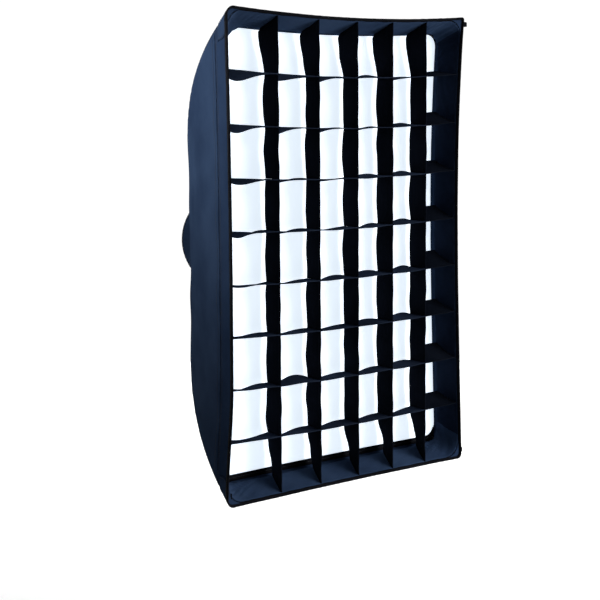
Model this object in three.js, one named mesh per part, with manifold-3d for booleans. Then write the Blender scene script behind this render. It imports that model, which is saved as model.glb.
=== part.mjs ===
// Rectangular photographic softbox, 600 x 900 mm, with a removable fabric grid.
// Millimetres, +Z up. The front faces -Y; Y = 0 is the adapter's seat on the flash head.
import * as THREE from 'three';
import { mergeVertices } from 'three/addons/utils/BufferGeometryUtils.js';
import Module from 'manifold-3d';

const wasm = await Module();
wasm.setup();

// ---- driving dimensions ----
const FACE_W = 600; // front opening, edge to edge
const FACE_H = 900;
const FRONT_Y = -445; // plane of the front edge
const DEPTH = 410; // front edge back to the rod sockets
const REAR_HALF = 68; // half width of the fabric where the rods end
const SPLAY = 0.51; // share of the taper that is straight; the rest is rod bending
// How far tension and weight pull the middle of each front edge in.
const BOW = { left: 1, right: 15, top: 12, bottom: 2.5 };
const BOW_LOSS = 0.75; // share of that pull which is gone where the rods end
const CLOTH = 1.2; // stand-in thickness of every cloth piece
const GAP = 0.3; // clearance between neighbouring pieces
const CORNER_R = 7; // rounding of the front corners
const LINING_R = 40; // larger rounding of what lies inside the rods

const SEAM_T = 57; // depth of the front band
const BINDING_T = [-2.5, 0.7]; // the binding's front and back edges
const BINDING_INSET = [-0.8, 3];
const EDGE = 3; // panels stop this far from the corner line, where the piping lies
const PIPING_R = 1.2;
const SHELL_END_T = 385; // where the four panels meet the rear collar
const CUFF_R = 91; // round rear edge of the collar, on the speed ring's rim
const CUFF_GRIP = 7; // how far the cuff reaches over the rim
const COLLAR_ROWS = 4;

const POCKET_T = [2, 42]; // front and back edges of the corner pockets
const POCKET_LEG = 34; // how far a pocket reaches along each side
const POCKET_THICK = 1.6;
const TAB_SIZE = [9, 14, 2];
const TAB_T = 11;
const TAB_DROP = 27; // from the corner down to the tab

const ROD_R = 2.5;
const ROD_INSET = 8; // rod centre line, inside the fabric
const ROD_TIP_T = 8; // foremost end of the rod's cap
const TIP_R = 4.5;
const TIP_LEN = 14;
const TIP_WALL = 5.5; // solid end of the cap, ahead of the rod
const SOCKET_R = 6.5;
const SOCKET_LEN = 30;
const SOCKET_PAST_ROD = 6; // how far the sleeve goes on past the rod's end
const SOCKET_FOOT = [13, 9, 13];
const FOOT_NEARER = 0.9; // the foot's place, as a share of the way out to the rod's end

const NECK_R = 56; // adapter neck that the speed ring turns on
const NECK_PLAY = 0.5;
const BORE_R = 50; // clear opening for the flash tube
const SPIGOT_R = 58; // part of the adapter that enters the flash head
const SPIGOT_LEN = 16;
const FLANGE_R = 76;
const FLANGE_T = 6;
const LUG_R = 66;
const LUG_T = 5;
const LUG_Y = 9;
const LUG_ANGLE = 0.6;
const RING_R = 88;
const RING_T = 16;
const RING_CHAMFER = 2;
const RETAINER_R = 62;
const RETAINER_T = 4;
const RETAINER_SCREW = { radius: 3, height: 2 };

const KNOB_R = 10;
const KNOB_LEN = 14;
const KNOB_OFF_RIM = 8;
const WING_SIZE = [30, 5, 12];
const SCREW_R = 3;

const DIFFUSER_T = 58; // depth of the diffuser sheet
const HEM_INSET = 2; // from the shell to the diffuser's edge
const HEM_W = 4; // dark border of the diffuser
const LEDGE_INSET = [1.6, 16];
const HOOK_T = [8, 28]; // front and back edges of the hook strip
const BAFFLE_T = 205; // depth of the inner baffle
const BAFFLE_HALF = [150, 240];
const STRAP_HALF_W = 6;
const STRAP_LAP = 5; // how far a strap reaches over the baffle's corner

const GRID_T = [3, 49]; // front and back edges of the grid strips
const GRID_PITCH = 95;
const GRID_OFFSET = [11, -4]; // the slack grid hangs a little right and low
const GRID_COLUMNS = 6;
const GRID_ROWS = 9;

// ---- materials ----
const paint = (color, roughness, metalness = 0) =>
  new THREE.MeshStandardMaterial({ color, roughness, metalness });
const shellCloth = paint(0x2a3850, 0.75);
const blackCloth = paint(0x0b0c10, 0.9);
const whiteCloth = paint(0xf2f6fa, 0.8);
const castAluminium = paint(0x9a9ca0, 0.4, 1);
const steel = paint(0x8d9096, 0.3, 1);
const rodPaint = paint(0x17181a, 0.45);
const blackPlastic = paint(0x15161a, 0.55);

const model = new THREE.Group();

function add(name, geometry, material) {
  const mesh = new THREE.Mesh(geometry, material);
  mesh.name = name;
  model.add(mesh);
  return mesh;
}

// ---- the fabric form ----
const CORNERS = [
  [1, 1],
  [-1, 1],
  [-1, -1],
  [1, -1],
];

// t is the distance behind the front edge.
const yAt = (t) => FRONT_Y + t;

function taper(t) {
  const share = t / DEPTH;
  return SPLAY * share + (1 - SPLAY) * share ** 3;
}

const halfW = (t) => FACE_W / 2 - (FACE_W / 2 - REAR_HALF) * taper(t);
const halfH = (t) => FACE_H / 2 - (FACE_H / 2 - REAR_HALF) * taper(t);

// Cloth between two rods is pulled in, most in the middle of each side.
function pinch(x, z, t) {
  const ease = 1 - (BOW_LOSS * t) / DEPTH;
  const w = halfW(t);
  const h = halfH(t);
  const bowX = ease * (x > 0 ? BOW.right : BOW.left);
  const bowZ = ease * (z > 0 ? BOW.top : BOW.bottom);
  const inX = (bowX * Math.max(0, 1 - (z / h) ** 2)) / w;
  const inZ = (bowZ * Math.max(0, 1 - (x / w) ** 2)) / h;
  return [x * (1 - inX), z * (1 - inZ)];
}

// Outline of the box at depth t, moved in by `inset`; the same number of points at every depth.
function outline(t, inset, cornerR = CORNER_R) {
  const radius = cornerR - inset;
  const points = roundedRectangle(halfW(t) - inset, halfH(t) - inset, radius);
  return points.map(([x, z]) => pinch(x, z, t));
}

// Short arcs at the corners, and long sides cut into equal steps.
const ARC_STEPS = 3;
const SIDE_STEPS = 10;

function roundedRectangle(w, h, radius) {
  const points = [];
  CORNERS.forEach(([sideX, sideZ], i) => {
    const [nextX, nextZ] = CORNERS[(i + 1) % CORNERS.length];
    const centre = new THREE.Vector2(sideX * (w - radius), sideZ * (h - radius));
    const nextCentre = new THREE.Vector2(nextX * (w - radius), nextZ * (h - radius));
    const start = (Math.PI / 2) * i;
    for (let k = 0; k <= ARC_STEPS; k += 1) {
      const angle = start + (Math.PI / 2) * (k / ARC_STEPS);
      points.push([centre.x + radius * Math.cos(angle), centre.y + radius * Math.sin(angle)]);
    }
    const out = new THREE.Vector2(Math.cos(start + Math.PI / 2), Math.sin(start + Math.PI / 2));
    for (let k = 1; k < SIDE_STEPS; k += 1) {
      const p = centre.clone().lerp(nextCentre, k / SIDE_STEPS).addScaledVector(out, radius);
      points.push([p.x, p.y]);
    }
  });
  return points;
}

// ---- solid builders ----
function solid(positions, index) {
  const geometry = new THREE.BufferGeometry();
  geometry.setAttribute('position', new THREE.Float32BufferAttribute(positions, 3));
  geometry.setIndex(index);
  if (volume(positions, index) < 0) {
    geometry.setIndex(flipped(index));
  }
  geometry.computeVertexNormals();
  return geometry;
}

function volume(positions, index) {
  const corner = (i) => new THREE.Vector3().fromArray(positions, 3 * index[i]);
  let sum = 0;
  for (let i = 0; i < index.length; i += 3) {
    sum += corner(i).dot(corner(i + 1).cross(corner(i + 2)));
  }
  return sum / 6;
}

function flipped(index) {
  const out = [];
  for (let i = 0; i < index.length; i += 3) {
    out.push(index[i], index[i + 2], index[i + 1]);
  }
  return out;
}

// A closed loop that follows the box's outline; `section` is a list of [t, inset] corners.
function loop(section, cornerR = CORNER_R) {
  return loopThrough(section.map(([t, inset]) => atDepth(outline(t, inset, cornerR), t)));
}

const atDepth = (points, t) => points.map(([x, z]) => [x, yAt(t), z]);

// A closed loop through rings of equally many points, the last joined to the first.
// The two halves of the rings are the outer and the inner wall: both fold along the same diagonals.
function loopThrough(rings) {
  const count = rings[0].length;
  const positions = rings.flat(2);
  const index = [];
  for (let i = 0; i < rings.length; i += 1) {
    const next = (i + 1) % rings.length;
    const outerWall = i < rings.length / 2;
    for (let j = 0; j < count; j += 1) {
      const k = (j + 1) % count;
      const [a, b] = [i * count + j, i * count + k];
      const [c, d] = [next * count + k, next * count + j];
      index.push(...(outerWall ? [a, b, c, a, c, d] : [a, b, d, b, c, d]));
    }
  }
  return solid(positions, index);
}

const bandSection = (t0, t1, inset0, inset1) => [
  [t0, inset0],
  [t1, inset0],
  [t1, inset1],
  [t0, inset1],
];

// A thin sheet between two surfaces, each a function of (u, v) in 0..1 giving [x, y, z].
function sheet(outer, inner, stepsU, stepsV) {
  const positions = [];
  const row = stepsU + 1;
  const layer = row * (stepsV + 1);
  for (const surface of [outer, inner]) {
    for (let j = 0; j <= stepsV; j += 1) {
      for (let i = 0; i <= stepsU; i += 1) {
        positions.push(...surface(i / stepsU, j / stepsV));
      }
    }
  }
  const index = [];
  const quad = (a, b, c, d) => index.push(a, b, c, a, c, d);
  for (let j = 0; j < stepsV; j += 1) {
    for (let i = 0; i < stepsU; i += 1) {
      const a = j * row + i;
      quad(a, a + 1, a + row + 1, a + row);
      quad(layer + a + row, layer + a + row + 1, layer + a + 1, layer + a);
    }
  }
  for (let i = 0; i < stepsU; i += 1) {
    const far = stepsV * row + i;
    quad(i + 1, i, layer + i, layer + i + 1);
    quad(far, far + 1, layer + far + 1, layer + far);
  }
  for (let j = 0; j < stepsV; j += 1) {
    const a = j * row;
    const b = a + stepsU;
    quad(a, a + row, layer + a + row, layer + a);
    quad(b + row, b, layer + b, layer + b + row);
  }
  return solid(positions, index);
}

function tube(curve, radius, steps, sides) {
  const section = new THREE.Shape(
    Array.from({ length: sides }, (_, i) => {
      const angle = (2 * Math.PI * i) / sides;
      return new THREE.Vector2(radius * Math.cos(angle), radius * Math.sin(angle));
    }),
  );
  return new THREE.ExtrudeGeometry(section, { steps, extrudePath: curve, bevelEnabled: false });
}

// A ring turned about the Y axis, from [radius, y] corners.
function turned(corners, segments = 48) {
  const profile = [...corners, corners[0]].map(([r, y]) => new THREE.Vector2(r, y));
  return outward(new THREE.LatheGeometry(profile, segments));
}

function outward(geometry) {
  const plain = positionsOnly(geometry);
  return solid(Array.from(plain.attributes.position.array), Array.from(plain.index.array));
}

function positionsOnly(geometry) {
  const plain = geometry.clone();
  plain.deleteAttribute('normal');
  plain.deleteAttribute('uv');
  return mergeVertices(plain, 1e-4);
}

function toManifold(geometry) {
  const plain = positionsOnly(geometry);
  return new wasm.Manifold(
    new wasm.Mesh({
      numProp: 3,
      vertProperties: new Float32Array(plain.attributes.position.array),
      triVerts: new Uint32Array(plain.index.array),
    }),
  );
}

function fromManifold(body) {
  const { vertProperties, triVerts } = body.getMesh();
  const geometry = new THREE.BufferGeometry();
  geometry.setAttribute('position', new THREE.BufferAttribute(vertProperties, 3));
  geometry.setIndex(new THREE.BufferAttribute(triVerts, 1));
  return geometry;
}

function box(size, centre) {
  return new THREE.BoxGeometry(...size).translate(...centre);
}

function cylinder(radius, length, axis, centre, sides = 20) {
  const geometry = new THREE.CylinderGeometry(radius, radius, length, sides);
  const turn = new THREE.Quaternion().setFromUnitVectors(new THREE.Vector3(0, 1, 0), axis);
  return geometry.applyQuaternion(turn).translate(...centre);
}

const UPWARD = new THREE.Vector3(0, 0, 1);
const BACKWARD = new THREE.Vector3(0, 1, 0);

// ---- adapter that stays on the flash head ----
function bayonetAdapter() {
  const bearingEnd = -FLANGE_T - RING_T - 2 * GAP;
  const body = turned([
    [BORE_R, SPIGOT_LEN],
    [SPIGOT_R, SPIGOT_LEN],
    [SPIGOT_R, 0],
    [FLANGE_R, 0],
    [FLANGE_R, -FLANGE_T],
    [NECK_R, -FLANGE_T],
    [NECK_R, bearingEnd],
    [BORE_R, bearingEnd],
  ]);
  let adapter = toManifold(body);
  for (let i = 0; i < 3; i += 1) {
    adapter = adapter.add(toManifold(bayonetLug((i * 2 * Math.PI) / 3)));
  }
  return fromManifold(adapter);
}

function bayonetLug(angle) {
  const [from, to] = [angle - LUG_ANGLE / 2, angle + LUG_ANGLE / 2];
  const shape = new THREE.Shape();
  shape.absarc(0, 0, LUG_R, from, to);
  shape.absarc(0, 0, (BORE_R + SPIGOT_R) / 2, to, from, true);
  const settings = { depth: LUG_T, bevelEnabled: false, curveSegments: 6 };
  const lug = new THREE.ExtrudeGeometry(shape, settings);
  return lug.rotateX(-Math.PI / 2).translate(0, LUG_Y, 0);
}

function retainingRing() {
  const back = -FLANGE_T - RING_T - 3 * GAP;
  return turned([
    [BORE_R, back],
    [RETAINER_R, back],
    [RETAINER_R, back - RETAINER_T],
    [BORE_R, back - RETAINER_T],
  ]);
}

function addRetainingScrews() {
  const { radius, height } = RETAINER_SCREW;
  const y = -FLANGE_T - RING_T - 4 * GAP - RETAINER_T - height / 2;
  const r = (BORE_R + RETAINER_R) / 2;
  for (let i = 0; i < 3; i += 1) {
    const angle = Math.PI / 2 + (i * 2 * Math.PI) / 3;
    const centre = [r * Math.cos(angle), y, r * Math.sin(angle)];
    add(`retaining_screw_${i + 1}`, cylinder(radius, height, BACKWARD, centre, 12), steel);
  }
}

// ---- speed ring, sockets and locking screws ----
const RING_BACK = -FLANGE_T - GAP;
const RING_FRONT = RING_BACK - RING_T;
const RING_MID = RING_BACK - RING_T / 2;
const KNOB_SIDES = [1, -1];

function speedRing() {
  const bearing = NECK_R + NECK_PLAY;
  let ring = toManifold(
    turned([
      [bearing, RING_BACK],
      [RING_R - RING_CHAMFER, RING_BACK],
      [RING_R, RING_BACK - RING_CHAMFER],
      [RING_R, RING_FRONT + RING_CHAMFER],
      [RING_R - RING_CHAMFER, RING_FRONT],
      [bearing, RING_FRONT],
    ]),
  );
  const holeLength = RING_R - bearing + 10;
  const holeMiddle = (RING_R + bearing) / 2;
  for (const side of KNOB_SIDES) {
    const hole = cylinder(SCREW_R + GAP, holeLength, UPWARD, [0, RING_MID, side * holeMiddle]);
    ring = ring.subtract(toManifold(hole));
  }
  return fromManifold(ring);
}

function addLockScrews() {
  const screwEnd = NECK_R + 2 * NECK_PLAY;
  const headStart = RING_R + KNOB_OFF_RIM;
  const headMiddle = headStart + KNOB_LEN / 2;
  const length = headMiddle - screwEnd;
  KNOB_SIDES.forEach((side, i) => {
    const screw = cylinder(SCREW_R, length, UPWARD, [0, RING_MID, side * (screwEnd + length / 2)]);
    const head = cylinder(KNOB_R, KNOB_LEN, UPWARD, [0, RING_MID, side * headMiddle], 24);
    const wing = box(WING_SIZE, [0, RING_MID, side * (headStart + KNOB_LEN + 1)]);
    const whole = toManifold(screw).add(toManifold(head)).add(toManifold(wing));
    add(`lock_screw_${i + 1}`, fromManifold(whole), blackPlastic);
  });
}

// ---- rods ----
// The box's corner line, moved in by `inset`.
class CornerLine extends THREE.Curve {
  constructor(sideX, sideZ, fromT, toT, inset = ROD_INSET) {
    super();
    Object.assign(this, { sideX, sideZ, fromT, toT, inset });
  }

  getPoint(share, target = new THREE.Vector3()) {
    const t = THREE.MathUtils.lerp(this.fromT, this.toT, share);
    const x = this.sideX * (halfW(t) - this.inset);
    const z = this.sideZ * (halfH(t) - this.inset);
    return target.set(x, yAt(t), z);
  }
}

function addRods() {
  CORNERS.forEach(([sideX, sideZ], i) => {
    const rod = new CornerLine(sideX, sideZ, ROD_TIP_T + TIP_WALL + GAP, DEPTH);
    const end = rod.getPoint(1);
    const inward = rod.getPoint(1).sub(rod.getPoint(0.995)).normalize();
    add(`rod_${i + 1}`, outward(tube(rod, ROD_R, 22, 8)), rodPaint);
    add(`rod_socket_${i + 1}`, rodSocket(end, inward), castAluminium);
    const tip = new CornerLine(sideX, sideZ, ROD_TIP_T, ROD_TIP_T + TIP_LEN);
    const hollow = new CornerLine(sideX, sideZ, ROD_TIP_T + TIP_WALL, ROD_TIP_T + 2 * TIP_LEN);
    const cap = toManifold(tube(tip, TIP_R, 2, 12)).subtract(
      toManifold(tube(hollow, ROD_R + GAP, 2, 12)),
    );
    add(`rod_tip_${i + 1}`, fromManifold(cap), blackPlastic);
  });
}

// A sleeve round the rod's inner end, standing on a foot on the ring's front face.
function rodSocket(end, inward) {
  const centre = end.clone().addScaledVector(inward, SOCKET_PAST_ROD - SOCKET_LEN / 2);
  const sleeve = toManifold(cylinder(SOCKET_R, SOCKET_LEN, inward, centre));
  const boreCentre = centre.clone().addScaledVector(inward, GAP - SOCKET_PAST_ROD);
  const bore = toManifold(cylinder(ROD_R + 2 * GAP, SOCKET_LEN, inward, boreCentre));
  const front = RING_FRONT - GAP;
  const footY = front - SOCKET_FOOT[1] / 2;
  const foot = toManifold(box(SOCKET_FOOT, [end.x * FOOT_NEARER, footY, end.z * FOOT_NEARER]));
  const ringSpace = toManifold(box([4 * RING_R, 2 * RING_T, 4 * RING_R], [0, front + RING_T, 0]));
  return fromManifold(sleeve.add(foot).subtract(bore).subtract(ringSpace));
}

// ---- fabric shell ----
function shellPanel(level, side, t0, t1) {
  const surface = (inset) => (u, v) => {
    const t = THREE.MathUtils.lerp(t0, t1, v);
    const along = (2 * u - 1) * ((level ? halfW(t) : halfH(t)) - EDGE);
    const across = side * ((level ? halfH(t) : halfW(t)) - inset);
    const [x, z] = level ? pinch(along, across, t) : pinch(across, along, t);
    return [x, yAt(t), z];
  };
  return sheet(surface(0), surface(CLOTH), 10, 12);
}

function addShell() {
  const t0 = SEAM_T + GAP;
  add('panel_top', shellPanel(true, 1, t0, SHELL_END_T), shellCloth);
  add('panel_bottom', shellPanel(true, -1, t0, SHELL_END_T), shellCloth);
  add('panel_left', shellPanel(false, -1, t0, SHELL_END_T), shellCloth);
  add('panel_right', shellPanel(false, 1, t0, SHELL_END_T), shellCloth);
  CORNERS.forEach(([sideX, sideZ], i) => {
    const line = new CornerLine(sideX, sideZ, t0, SHELL_END_T, PIPING_R);
    add(`corner_seam_${i + 1}`, outward(tube(line, PIPING_R, 18, 6)), blackCloth);
  });
}

// Cuff that closes the shell round the sockets and grips the rim of the speed ring.
function rearCollar() {
  const front = SHELL_END_T + GAP;
  const rim = RING_FRONT - RING_CHAMFER - FRONT_Y;
  const rear = rim + CUFF_GRIP;
  const wall = (inset) => {
    const cloth = outline(front, inset);
    const cuff = roundOpening(CUFF_R - inset);
    const rings = [];
    for (let i = 0; i <= COLLAR_ROWS; i += 1) {
      const share = i / COLLAR_ROWS;
      const between = cloth.map(([x, z], j) => [
        THREE.MathUtils.lerp(x, cuff[j][0], share),
        THREE.MathUtils.lerp(z, cuff[j][1], share),
      ]);
      rings.push(atDepth(between, THREE.MathUtils.lerp(front, rim, share)));
    }
    return [...rings, atDepth(cuff, rear)];
  };
  return loopThrough([...wall(0), ...wall(CLOTH).reverse()]);
}

// Circle whose points stand one for one opposite those of the outline.
function roundOpening(radius) {
  return roundedRectangle(1, 1, 0.1).map(([x, z]) => {
    const angle = Math.atan2(z, x);
    return [radius * Math.cos(angle), radius * Math.sin(angle)];
  });
}

function addFront() {
  const bandT = BINDING_T[1] + GAP;
  add('front_band', loop(bandSection(bandT, SEAM_T, 0, CLOTH)), shellCloth);
  add('edge_binding', loop(bandSection(...BINDING_T, ...BINDING_INSET)), blackCloth);
  const hooks = bandSection(...HOOK_T, CLOTH + GAP, 2 * CLOTH);
  add('grid_hook_strip', loop(hooks, LINING_R), blackCloth);
  const ledgeT = DIFFUSER_T + CLOTH + GAP;
  const ledge = bandSection(ledgeT, ledgeT + CLOTH, ...LEDGE_INSET);
  add('diffuser_ledge', loop(ledge, LINING_R), blackCloth);
  CORNERS.forEach(([sideX, sideZ], i) => {
    add(`corner_pocket_${i + 1}`, cornerPocket(sideX, sideZ), shellCloth);
  });
}

// Patch over the front corner, with a small pull tab on its side leg.
function cornerPocket(sideX, sideZ) {
  const cornerSpace = toManifold(cornerWedge(GAP));
  const patch = toManifold(cornerWedge(GAP + POCKET_THICK)).subtract(cornerSpace);
  const tabPlace = [(FACE_W + TAB_SIZE[0]) / 2, yAt(TAB_T), FACE_H / 2 - TAB_DROP];
  const tab = toManifold(box(TAB_SIZE, tabPlace)).subtract(cornerSpace);
  return mirrored(fromManifold(patch.add(tab)), sideX, sideZ);
}

// The corner's own wedge of space, out to `out` beyond the cloth.
function cornerWedge(out) {
  const x0 = FACE_W / 2 - POCKET_LEG;
  const z0 = FACE_H / 2 - POCKET_LEG;
  const corners = POCKET_T.flatMap((t) => {
    const [w, h] = [halfW(t) + out, halfH(t) + out];
    return [[x0, yAt(t), z0], [w, yAt(t), z0], [w, yAt(t), h], [x0, yAt(t), h]];
  });
  const faces = [
    [0, 1, 2, 3], [7, 6, 5, 4], [0, 4, 5, 1], [1, 5, 6, 2], [2, 6, 7, 3], [3, 7, 4, 0],
  ];
  const index = faces.flatMap(([a, b, c, d]) => [a, b, c, a, c, d]);
  return solid(corners.flat(), index);
}

function mirrored(geometry, sideX, sideZ) {
  const copy = geometry.clone().scale(sideX, 1, sideZ);
  return outward(copy.setIndex(geometry.index));
}

// ---- diffusers ----
function flatSheet(points, t) {
  const shape = new THREE.Shape(points.map(([x, z]) => new THREE.Vector2(x, z)));
  const plate = new THREE.ExtrudeGeometry(shape, { depth: CLOTH, bevelEnabled: false });
  return outward(plate.rotateX(Math.PI / 2).translate(0, yAt(t) + CLOTH, 0));
}

function addDiffusers() {
  add('diffuser', flatSheet(outline(DIFFUSER_T, HEM_INSET, LINING_R), DIFFUSER_T), whiteCloth);
  const hemFront = DIFFUSER_T - GAP - CLOTH;
  const hem = bandSection(hemFront, DIFFUSER_T - GAP, HEM_INSET, HEM_INSET + HEM_W);
  add('diffuser_hem', loop(hem, LINING_R), blackCloth);
  const [w, h] = BAFFLE_HALF;
  add('inner_baffle', flatSheet([[-w, -h], [w, -h], [w, h], [-w, h]], BAFFLE_T), whiteCloth);
  CORNERS.forEach(([sideX, sideZ], i) => {
    add(`baffle_strap_${i + 1}`, baffleStrap(sideX, sideZ), blackCloth);
  });
}

// Strap from the baffle's corner to the rod.
function baffleStrap(sideX, sideZ) {
  const [w, h] = BAFFLE_HALF;
  const reach = ROD_INSET + 2 * ROD_R;
  const start = new THREE.Vector2(w - STRAP_LAP, h - STRAP_LAP);
  const end = new THREE.Vector2(halfW(BAFFLE_T) - reach, halfH(BAFFLE_T) - reach);
  const side = end.clone().sub(start).normalize().rotateAround(new THREE.Vector2(), Math.PI / 2);
  const half = side.multiplyScalar(STRAP_HALF_W);
  const points = [
    start.clone().add(half), end.clone().add(half), end.clone().sub(half), start.clone().sub(half),
  ].map((p) => [p.x, p.y]);
  return mirrored(flatSheet(points, BAFFLE_T - GAP - CLOTH), sideX, sideZ);
}

// ---- grid ----
const gridLines = (count, offset) =>
  Array.from({ length: count }, (_, i) => offset + (i - (count - 1) / 2) * GRID_PITCH);
const COLUMN_LINES = gridLines(GRID_COLUMNS - 1, GRID_OFFSET[0]);
const ROW_LINES = gridLines(GRID_ROWS - 1, GRID_OFFSET[1]);
const GRID_WALL = CLOTH + 2 * GAP + 1; // inset of the grid's own perimeter band

// Half-lapped strips: upright ones are slotted from the back, level ones from the front.
function gridStrip(upright, position) {
  const crossings = upright ? ROW_LINES : COLUMN_LINES;
  const [front, back] = GRID_T;
  const middle = (front + back) / 2;
  const slot = CLOTH / 2 + GAP;
  const floor = middle + (upright ? -GAP : GAP) / 2;
  const lip = upright ? back : front;
  const slots = crossings.flatMap((c) => [
    [c - slot, lip],
    [c - slot, floor],
    [c + slot, floor],
    [c + slot, lip],
  ]);
  const end = (side, t) => [stripEnd(upright, position, side, t), t];
  const frontEdge = [end(-1, front), ...(upright ? [] : slots), end(1, front)];
  const backEdge = [end(-1, back), ...(upright ? slots : []), end(1, back)];
  const points = [...frontEdge, ...backEdge.reverse()];
  const shape = new THREE.Shape(points.map(([a, t]) => new THREE.Vector2(a, yAt(t))));
  const plate = new THREE.ExtrudeGeometry(shape, { depth: CLOTH, bevelEnabled: false });
  plate.translate(0, 0, -CLOTH / 2);
  if (upright) {
    plate.rotateY(-Math.PI / 2);
  }
  plate.translate(upright ? position : 0, 0, upright ? 0 : position);
  return outward(plate);
}

// Where a strip ends at depth t: just short of the perimeter band's inner face.
function stripEnd(upright, position, side, t) {
  const inset = GRID_WALL + CLOTH + 2 * GAP;
  const [x, z] = upright
    ? pinch(position, side * (halfH(t) - inset), t)
    : pinch(side * (halfW(t) - inset), position, t);
  return upright ? z : x;
}

function addGrid() {
  const [front, back] = GRID_T;
  const wall = bandSection(front, back, GRID_WALL, GRID_WALL + CLOTH);
  add('grid_frame', loop(wall, LINING_R), shellCloth);
  COLUMN_LINES.forEach((x, i) => add(`grid_upright_${i + 1}`, gridStrip(true, x), blackCloth));
  ROW_LINES.forEach((z, i) => add(`grid_level_${i + 1}`, gridStrip(false, z), blackCloth));
}

add('bayonet_adapter', bayonetAdapter(), castAluminium);
add('retaining_ring', retainingRing(), castAluminium);
addRetainingScrews();
add('speed_ring', speedRing(), castAluminium);
addLockScrews();
addRods();
addShell();
add('rear_collar', rearCollar(), shellCloth);
addFront();
addDiffusers();
addGrid();

export default model;
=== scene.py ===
"""Rectangular cloth softbox, 600 x 900 mm, with a peel-off grid of cloth strips. Metres, +Z up."""
import math
import random

import bmesh
import bpy
import numpy as np
from mathutils import Matrix, Vector

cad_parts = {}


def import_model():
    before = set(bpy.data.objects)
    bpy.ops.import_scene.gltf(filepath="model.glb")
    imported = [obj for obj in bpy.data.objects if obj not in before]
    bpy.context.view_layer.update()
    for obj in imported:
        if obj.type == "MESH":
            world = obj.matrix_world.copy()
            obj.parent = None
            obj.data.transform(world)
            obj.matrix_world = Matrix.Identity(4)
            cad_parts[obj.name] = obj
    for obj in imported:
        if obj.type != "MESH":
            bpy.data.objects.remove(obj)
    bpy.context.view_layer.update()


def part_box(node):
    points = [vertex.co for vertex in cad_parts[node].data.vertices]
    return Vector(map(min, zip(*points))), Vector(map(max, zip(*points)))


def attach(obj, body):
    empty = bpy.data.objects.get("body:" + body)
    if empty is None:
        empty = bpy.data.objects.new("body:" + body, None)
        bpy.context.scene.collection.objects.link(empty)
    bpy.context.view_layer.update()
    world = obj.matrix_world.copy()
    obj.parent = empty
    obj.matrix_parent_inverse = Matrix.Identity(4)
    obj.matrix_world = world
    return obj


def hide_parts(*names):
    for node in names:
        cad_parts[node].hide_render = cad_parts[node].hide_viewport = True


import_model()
MM = 0.001

# ---- the form of the cloth box, as in the CAD ----
BAND_LOW, BAND_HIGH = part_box("front_band")
HALF_W, HALF_H = -BAND_LOW.x, BAND_HIGH.z
FRONT_Y = BAND_LOW.y - 1 * MM
SEAM_T = BAND_HIGH.y - FRONT_Y
DEPTH = 410 * MM
REAR_HALF = 68 * MM
SPLAY = 0.51
BOW = {"left": 5 * MM, "right": 15 * MM, "top": 12 * MM, "bottom": 2.5 * MM}
BOW_LOSS = 0.75
# The right side is pulled in further above its middle than below it.
RIGHT_SKEW = 0.5
# The lower left front corner is drawn out sideways.
CORNER_DRAW = 11 * MM
ROD_INSET = 8 * MM
SHELL_END_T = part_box("panel_top")[1].y - FRONT_Y
RING_LOW, RING_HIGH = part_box("speed_ring")
CUFF_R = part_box("rear_collar")[1].x
CUFF_REAR_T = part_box("rear_collar")[1].y - FRONT_Y
CORNERS = [(1, 1), (-1, 1), (-1, -1), (1, -1)]
FRONT_RADII = np.array([6, 17, 15, 11]) * MM
SHELL_RADII = np.array([8, 22, 12, 12]) * MM
ARC_STEPS, SIDE_STEPS = 14, 200
# Steps along a side are closer together near the corners, where the cloth creases.
EVEN_SHARES = np.arange(1, SIDE_STEPS) / SIDE_STEPS
SIDE_SHARES = EVEN_SHARES - 0.09 * np.sin(2 * math.pi * EVEN_SHARES)


def lerp(a, b, share):
    return a + (b - a) * share


def smooth(value, start, end):
    """0 before start, 1 after end, and a soft step between them."""
    share = np.clip((value - start) / (end - start), 0, 1)
    return share * share * (3 - 2 * share)


def taper(t):
    share = t / DEPTH
    return SPLAY * share + (1 - SPLAY) * share**3


def half_w(t):
    return HALF_W - (HALF_W - REAR_HALF) * taper(t)


def half_h(t):
    return HALF_H - (HALF_H - REAR_HALF) * taper(t)


def place(x, z, t):
    """Points of the cloth form: x and z before the sides are pulled in, t behind the front edge."""
    x, z, t = np.broadcast_arrays(np.asarray(x, float), np.asarray(z, float), np.asarray(t, float))
    w, h = half_w(t), half_h(t)
    ease = 1 - BOW_LOSS * t / DEPTH
    bow_x = ease * np.where(x > 0, BOW["right"] * (1 + RIGHT_SKEW * z / h), BOW["left"])
    bow_z = ease * np.where(z > 0, BOW["top"], BOW["bottom"])
    pulled_x = x * (1 - bow_x * np.maximum(0, 1 - (z / h) ** 2) / w)
    pulled_z = z * (1 - bow_z * np.maximum(0, 1 - (x / w) ** 2) / h)
    drawn = CORNER_DRAW * ease**3 * smooth(-z / h, 0.5, 1) * smooth(-x / w, 0.6, 1)
    return np.stack([pulled_x - drawn, FRONT_Y + t, pulled_z], axis=-1)


def shell_radii(t):
    """Radii of the four corners at depth t: the front corners are tighter than the seams behind them."""
    return lerp(FRONT_RADII, SHELL_RADII, smooth(t, 0, SEAM_T))


def rounded_rectangle(w, h, radii):
    """Points round a rectangle whose four corners have their own radii."""
    points = []
    for i, (side_x, side_z) in enumerate(CORNERS):
        next_x, next_z = CORNERS[(i + 1) % 4]
        radius, next_radius = radii[i], radii[(i + 1) % 4]
        centre = np.array([side_x * (w - radius), side_z * (h - radius)])
        next_centre = np.array([next_x * (w - next_radius), next_z * (h - next_radius)])
        start = i * math.pi / 2
        for k in range(ARC_STEPS + 1):
            angle = start + math.pi / 2 * k / ARC_STEPS
            points.append(centre + radius * np.array([math.cos(angle), math.sin(angle)]))
        out = np.array([-math.sin(start), math.cos(start)])
        for share in SIDE_SHARES:
            points.append(lerp(centre + radius * out, next_centre + next_radius * out, share))
    return np.array(points)


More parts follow.
